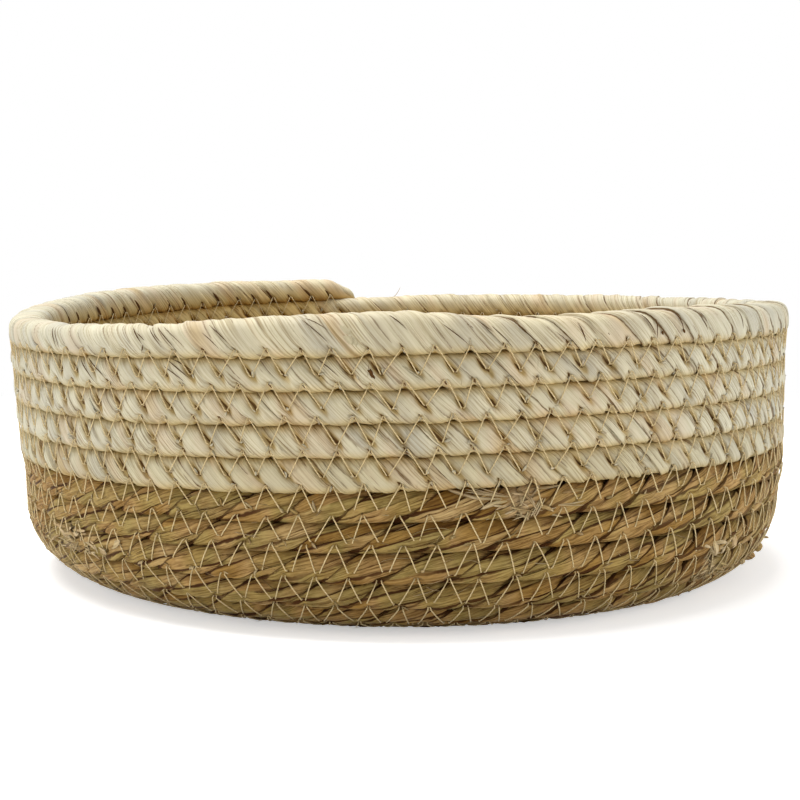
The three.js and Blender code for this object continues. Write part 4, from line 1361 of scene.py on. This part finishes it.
# Slivers of painted shade on the husk, at its gaps and creases: the turn (after the end of the rope) and
# climb of their two ends, then their width.
HUSK_GAP_SHADES = np.array([
    (3.5514, 0.98, 3.5427, -0.14, 0.00031),
    (3.5332, 0.30, 3.5326, -0.20, 0.0014),
    (3.5341, 0.20, 3.5322, 0.05, 0.0011),
    (3.5330, 0.02, 3.5316, -0.26, 0.0010),
    (1.6145, 0.45, 1.6118, 0.05, 0.00037),
    (1.6085, -0.25, 1.6062, -0.56, 0.00037),
    (4.5109, 0.61, 4.5015, -0.43, 0.00037),
    (4.5041, 0.77, 4.5004, 0.38, 0.00031),
    (4.4990, 0.80, 4.4937, 0.15, 0.00019),
    (4.4962, 0.77, 4.4863, -0.77, 0.00025),
    (4.4857, 0.56, 4.4773, -0.77, 0.00025),
    (4.4780, 0.10, 4.4747, -0.47, 0.00037),
    (4.4733, 0.24, 4.4661, -0.83, 0.00025),
    (4.4718, 0.56, 4.4663, -0.47, 0.00025),
    (4.5895, 0.47, 4.5827, -0.43, 0.00025),
    (4.5554, 0.90, 4.5457, -0.28, 0.00031),
    (4.5545, 0.98, 4.5457, 0.28, 0.00025),
    (4.5274, 0.98, 4.5211, 0.19, 0.00031),
    (4.4650, 0.71, 4.4619, -0.61, 0.00037),
    (4.6192, 0.95, 4.6130, -0.10, 0.00045),
    (4.6130, -0.10, 4.6141, -0.60, 0.0004),
    (4.6160, 0.55, 4.6118, 0.10, 0.0003),
    (4.7730, 0.35, 4.7722, -0.60, 0.0003),
    (4.6656, 0.90, 4.6602, -0.40, 0.0003),
    (4.6632, 0.85, 4.6580, -0.45, 0.00025),
    (4.6082, 0.95, 4.5989, -0.47, 0.0003),
    (4.6060, 0.95, 4.5955, -0.30, 0.00025),
    (4.6117, 0.90, 4.6048, -0.30, 0.0003),
    (4.5879, 0.90, 4.5785, -0.25, 0.0003),
    (4.4397, 0.95, 4.4344, -0.30, 0.0004),
    (4.4345, 0.95, 4.4336, -0.55, 0.0004),
    (4.4247, 0.95, 4.4214, -0.20, 0.0004),
    (4.4132, 0.67, 4.4088, -0.25, 0.00035),
    (4.3892, 0.95, 4.3860, -0.30, 0.0003),
    (4.4318, -0.10, 4.4312, -0.32, 0.0009),
    (4.4218, -0.05, 4.4210, -0.30, 0.0010),
    (4.4561, 0.15, 4.4534, -0.15, 0.0008),
    (3.6052, 0.90, 3.5941, -0.20, 0.0004),
    (3.6035, 0.95, 3.5928, 0.22, 0.0004),
    (3.6060, 0.55, 3.5965, -0.35, 0.0003),
    (3.6480, 0.82, 3.6379, -0.55, 0.0004),
    (3.6446, 0.95, 3.6314, -0.30, 0.0004),
    (-0.4938, 0.62, -0.4966, 0.80, 0.0022),
    (-2.5890, 0.04, -2.5956, -0.02, 0.0015),
    (-2.6122, 0.37, -2.6176, 0.48, 0.0013),
])

# Inside the far rim, at the left, every needle hole has torn a notch, drawn as a dark sliver of painted
# shade.
FAR_NOTCHES_FROM = 4.79
far_holes = inner_marks[inner_marks[:, 0] > ROPE_TURNS + FAR_NOTCHES_FROM, 0] - ROPE_TURNS
longer = 0.5 + 0.5 * np.sin(np.arange(len(far_holes)) * 2.4)
far_notches = np.stack([
    far_holes - 0.0020 - 0.0026 * longer, math.pi + 0.25 - 0.50 * longer, far_holes,
    np.full(len(far_holes), math.pi + 0.62), 0.0008 + 0.0006 * longer,
], axis=1)

GAP_LIFT_CURL_THICKNESS_FRAY = (0.0002, 0.15, 0.0003, 0.0)
all_gaps = np.concatenate([HUSK_GAP_SHADES, far_notches])
gap_shapes = np.full((len(all_gaps), 4), GAP_LIFT_CURL_THICKNESS_FRAY)
all_gaps = np.concatenate([all_gaps, gap_shapes], axis=1)
for name, rows, material, slot, clear, blunt in (
        ("torn_leaf_tips", LEAF_TIPS, leaf_material, "seagrass", 0.0, 0.35),
        ("husk_flakes", HUSK_FLAKES, husk_material, "corn_husk", 0.0, 0.5),
        ("husk_gaps", all_gaps, painted_gap_shade(), "corn_husk", 0.0004, 0.9)):
    start, climb, end, end_climb, width, lift, curl, thick, frayed = rows.T
    radius, _ = skin_point(lower_edge(ROPE_TURNS + start), 0)
    ahead, up = (end - start) * FULL_ROUND * radius, (end_climb - climb) * CLIMB_RADIUS
    line = slivers(name + "_line", ROPE_TURNS + start, climb, np.arctan2(up, ahead) - 0.4 * curl,
                   np.hypot(ahead, up), width, lift, curl, thick, frayed, 9, clear, blunt)
    grow(name, line, torn_leaf, Sides=6, Material=material)

in_husk = marks[:, 0] >= ROPE_TURNS
chosen = in_husk & (scrap_rng.random(len(marks)) < FLUFFY_SHARE_OF_HOLES)
count = chosen.sum()
climb = np.where(turned_in == 1, math.pi - marks[:, 1], marks[:, 1])[chosen]
fluff_line = slivers(
    "husk_fluff_line", marks[chosen, 0] + scrap_rng.normal(0, 0.0005, count), climb + some(-0.1, 0.1, count),
    some(0, FULL_ROUND, count), some(0.0009, 0.0026, count), some(0.0005, 0.0012, count),
    some(0.0002, 0.0010, count), some(-1.2, 1.2, count), 0.00025, 0.0, 5)
count = PEELS
turned_in = scrap_rng.random(count) < 0.25
peel_line = slivers(
    "husk_peel_line", some(ROPE_TURNS, END_TURN - 0.03, count), some(-0.8, 0.8, count) + math.pi * turned_in,
    PEEL_HEADING + math.pi * (scrap_rng.random(count) < 0.5) + some(-0.12, 0.12, count),
    some(0.004, 0.010, count), some(0.0005, 0.0012, count), some(0.0001, 0.0007, count),
    some(-0.25, 0.25, count), 0.0003, 0.0, 8)
for name, line in (("husk_fluff", fluff_line), ("husk_peels", peel_line)):
    torn = grow(name, line, torn_leaf, Sides=4, Material=husk_material)


# The sewing thread: pale gold, half a millimetre thick, pulled straight from hole to hole. The
# needle thread lies on the outside of the basket and the bobbin thread on the inside.
HUSK_THREAD_SHARE = 0.88
THREAD_TONES = (0.36, 0.25, 0.10, 1), (0.60, 0.47, 0.24, 1)
PLY_PER_MILLIMETRE = 0.7
PLIES = 2.0
THREAD_SIDES = 5


def thread_tree():
    """Round thread along each stitch leg, closed at both ends."""
    wire, given = start_tree("sewing_thread", Radius="Float", Sides="Int", Material="Material")
    curves = paths_from_dots(wire, given["Geometry"])
    curves = wire.out("GeometryNodeSetCurveNormal", {"Curve": curves}, mode="Z_UP")
    length = wire.node("GeometryNodeSplineParameter").outputs["Length"]
    curves, along = keep_on_points(wire, curves, length, "along")
    profile = wire.out("GeometryNodeCurvePrimitiveCircle", {
        "Resolution": given["Sides"], "Radius": given["Radius"],
    })
    share = wire.node("GeometryNodeSplineParameter").outputs["Factor"]
    profile, around = keep_on_points(wire, profile, share, "around")
    mesh = wire.out("GeometryNodeCurveToMesh", {
        "Curve": curves, "Profile Curve": profile, "Fill Caps": True, "Scale": named(wire, "tightness"),
    })
    place_on = wire.vector(wire.times(along, MILLIMETRES), around)
    mesh = stored(wire, mesh, "thread_uv", place_on, "FLOAT2", "CORNER")
    finish_tree(wire, mesh, given["Material"])
    return wire.tree


def gold_thread():
    """Pale gold thread of two plies, with painted shade in the groove between them."""
    material, wire, shader = start_material("gold_thread")
    split = wire.split(wire.out("ShaderNodeUVMap", uv_map="thread_uv"))
    ply = wire.add(wire.times(split["X"], PLY_PER_MILLIMETRE), wire.times(split["Y"], PLIES))
    off = wire.absolute(wire.less(wire.math("FRACT", ply), 0.5))
    groove = wire.fall(off, 0.2, 0.5)
    wire.join(wire.mixed(groove, *THREAD_TONES), shader.inputs["Base Color"])
    shader.inputs["Roughness"].default_value = 0.5
    wire.bumped(shader, groove, strength=0.5, distance=0.0001)
    return material


sewing_thread = thread_tree()
thread_material = gold_thread()
on_wall = lower_edge(leg_turns) >= FLAT_RADIUS - ROPE_PITCH
in_husk = leg_turns - 1 >= ROPE_TURNS
thread_parts = {
    "needle_thread_wall": (outer_legs, on_wall),
    "needle_thread_base": (outer_legs, ~on_wall),
    "bobbin_thread_wall": (inner_legs, on_wall),
    "bobbin_thread_base": (inner_legs, ~on_wall),
}
for name, (legs, chosen) in thread_parts.items():
    numbers = np.repeat(np.arange(chosen.sum()), leg_points)
    tightness = np.repeat(np.where(in_husk[chosen], HUSK_THREAD_SHARE, 1.0), leg_points)
    line = dots(name + "_line", legs[chosen].reshape(-1, 3), path=numbers, tightness=tightness)
    thread = grow(name, line, sewing_thread, Radius=THREAD_RADIUS, Sides=THREAD_SIDES,
                  Material=thread_material)

for guide in (sewing_guide, hole_guide, edge_hole_guide, middle_hole_guide):
    bpy.data.objects.remove(guide)


# The floor and the light: a white studio floor and soft light from above the front, plain
# enough that colours show about as they are.
FLOOR_HALF = 3.0
FLOOR_WHITE = (0.92, 0.92, 0.92, 1)
FLOOR_GLOW = 0.45
FADES_FROM = 0.25
FADES_TO = 0.75
SKY_LIGHT = 0.42
WHITE = (1, 1, 1, 1)


def white_floor():
    """White paper that shows shadows, and fades into plain white away from the basket."""
    material, wire, shader = start_material("white_floor", specular=0.0)
    shader.inputs["Base Color"].default_value = FLOOR_WHITE
    shader.inputs["Roughness"].default_value = 0.9
    path = wire.node("ShaderNodeLightPath")
    seen = wire.math("MAXIMUM", path.outputs["Is Camera Ray"], path.outputs["Is Glossy Ray"])
    glow = wire.out("ShaderNodeEmission", {"Color": WHITE, "Strength": wire.times(seen, FLOOR_GLOW)})
    both = wire.node("ShaderNodeAddShader")
    wire.join(shader.outputs[0], both.inputs[0])
    wire.join(glow, both.inputs[1])
    away = wire.vectors("LENGTH", wire.node("ShaderNodeTexCoord").outputs["Object"], output=1)
    white = wire.out("ShaderNodeEmission", {"Color": WHITE, "Strength": 1.0})
    faded = wire.node("ShaderNodeMixShader")
    wire.join(wire.times(wire.ramp(away, FADES_FROM, FADES_TO), seen), faded.inputs[0])
    wire.join(both.outputs[0], faded.inputs[1])
    wire.join(white, faded.inputs[2])
    wire.join(faded.outputs[0], material.node_tree.nodes["Material Output"].inputs["Surface"])
    return material


floor_mesh = bpy.data.meshes.new("studio_floor")
corners = [(-FLOOR_HALF, -FLOOR_HALF, 0), (FLOOR_HALF, -FLOOR_HALF, 0),
           (FLOOR_HALF, FLOOR_HALF, 0), (-FLOOR_HALF, FLOOR_HALF, 0)]
floor_mesh.from_pydata(corners, [], [(0, 1, 2, 3)])
floor_mesh.materials.append(white_floor())
floor = bpy.data.objects.new("studio_floor", floor_mesh)
bpy.context.collection.objects.link(floor)

world = bpy.data.worlds.new("studio")
world.use_nodes = True
bpy.context.scene.world = world
sky = Wiring(world.node_tree)
ray = sky.node("ShaderNodeLightPath")
direct = sky.math("MAXIMUM", ray.outputs["Is Camera Ray"], ray.outputs["Is Glossy Ray"])
background = world.node_tree.nodes["Background"]
background.inputs["Color"].default_value = WHITE
sky.join(sky.add(SKY_LIGHT, sky.times(direct, 1 - SKY_LIGHT)), background.inputs["Strength"])

# Each lamp: where it stands, where it points, its size and its power.
lamps = {
    "overhead": ((-0.30, 0.10, 1.30), (0.0, 0.0, 0.0), 1.1, 28),
    "front": ((-0.20, -1.30, 0.20), (0.0, 0.0, 0.05), 0.8, 1.5),
    "left": ((-1.20, -0.45, 0.50), (0.0, 0.0, 0.05), 0.8, 5),
    "right": ((1.20, -0.35, 0.35), (0.0, 0.0, 0.05), 0.8, 8.5),
}
for name, (spot, target, size, power) in lamps.items():
    light = bpy.data.lights.new(name, "AREA")
    light.size = size
    light.energy = power
    lamp = bpy.data.objects.new(name, light)
    lamp.location = spot
    aim = np.array(target) - np.array(spot)
    across = math.hypot(aim[0], aim[1])
    lamp.rotation_euler = (math.atan2(across, -aim[2]), 0, math.atan2(aim[0], -aim[1]) + math.pi)
    bpy.context.collection.objects.link(lamp)

# The camera stands just above the height of the rim, close in front, and looks slightly down.
CAMERA_DISTANCE = 0.615
CAMERA_HEIGHT = 0.1287
CAMERA_DOWN = 0.104
CAMERA_ASIDE = 0.0006
SENSOR_WIDTH = 36
LENS_LENGTH = 64.85
camera_data = bpy.data.cameras.new("photo_camera")
camera_data.sensor_width = SENSOR_WIDTH
camera_data.lens = LENS_LENGTH
camera_data.clip_start = 0.01
camera = bpy.data.objects.new("photo_camera", camera_data)
camera.location = (CAMERA_ASIDE, -CAMERA_DISTANCE, CAMERA_HEIGHT)
camera.rotation_euler = (math.pi / 2 - CAMERA_DOWN, 0, 0)
bpy.context.collection.objects.link(camera)
bpy.context.scene.camera = camera

bpy.context.scene.view_settings.view_transform = "Standard"
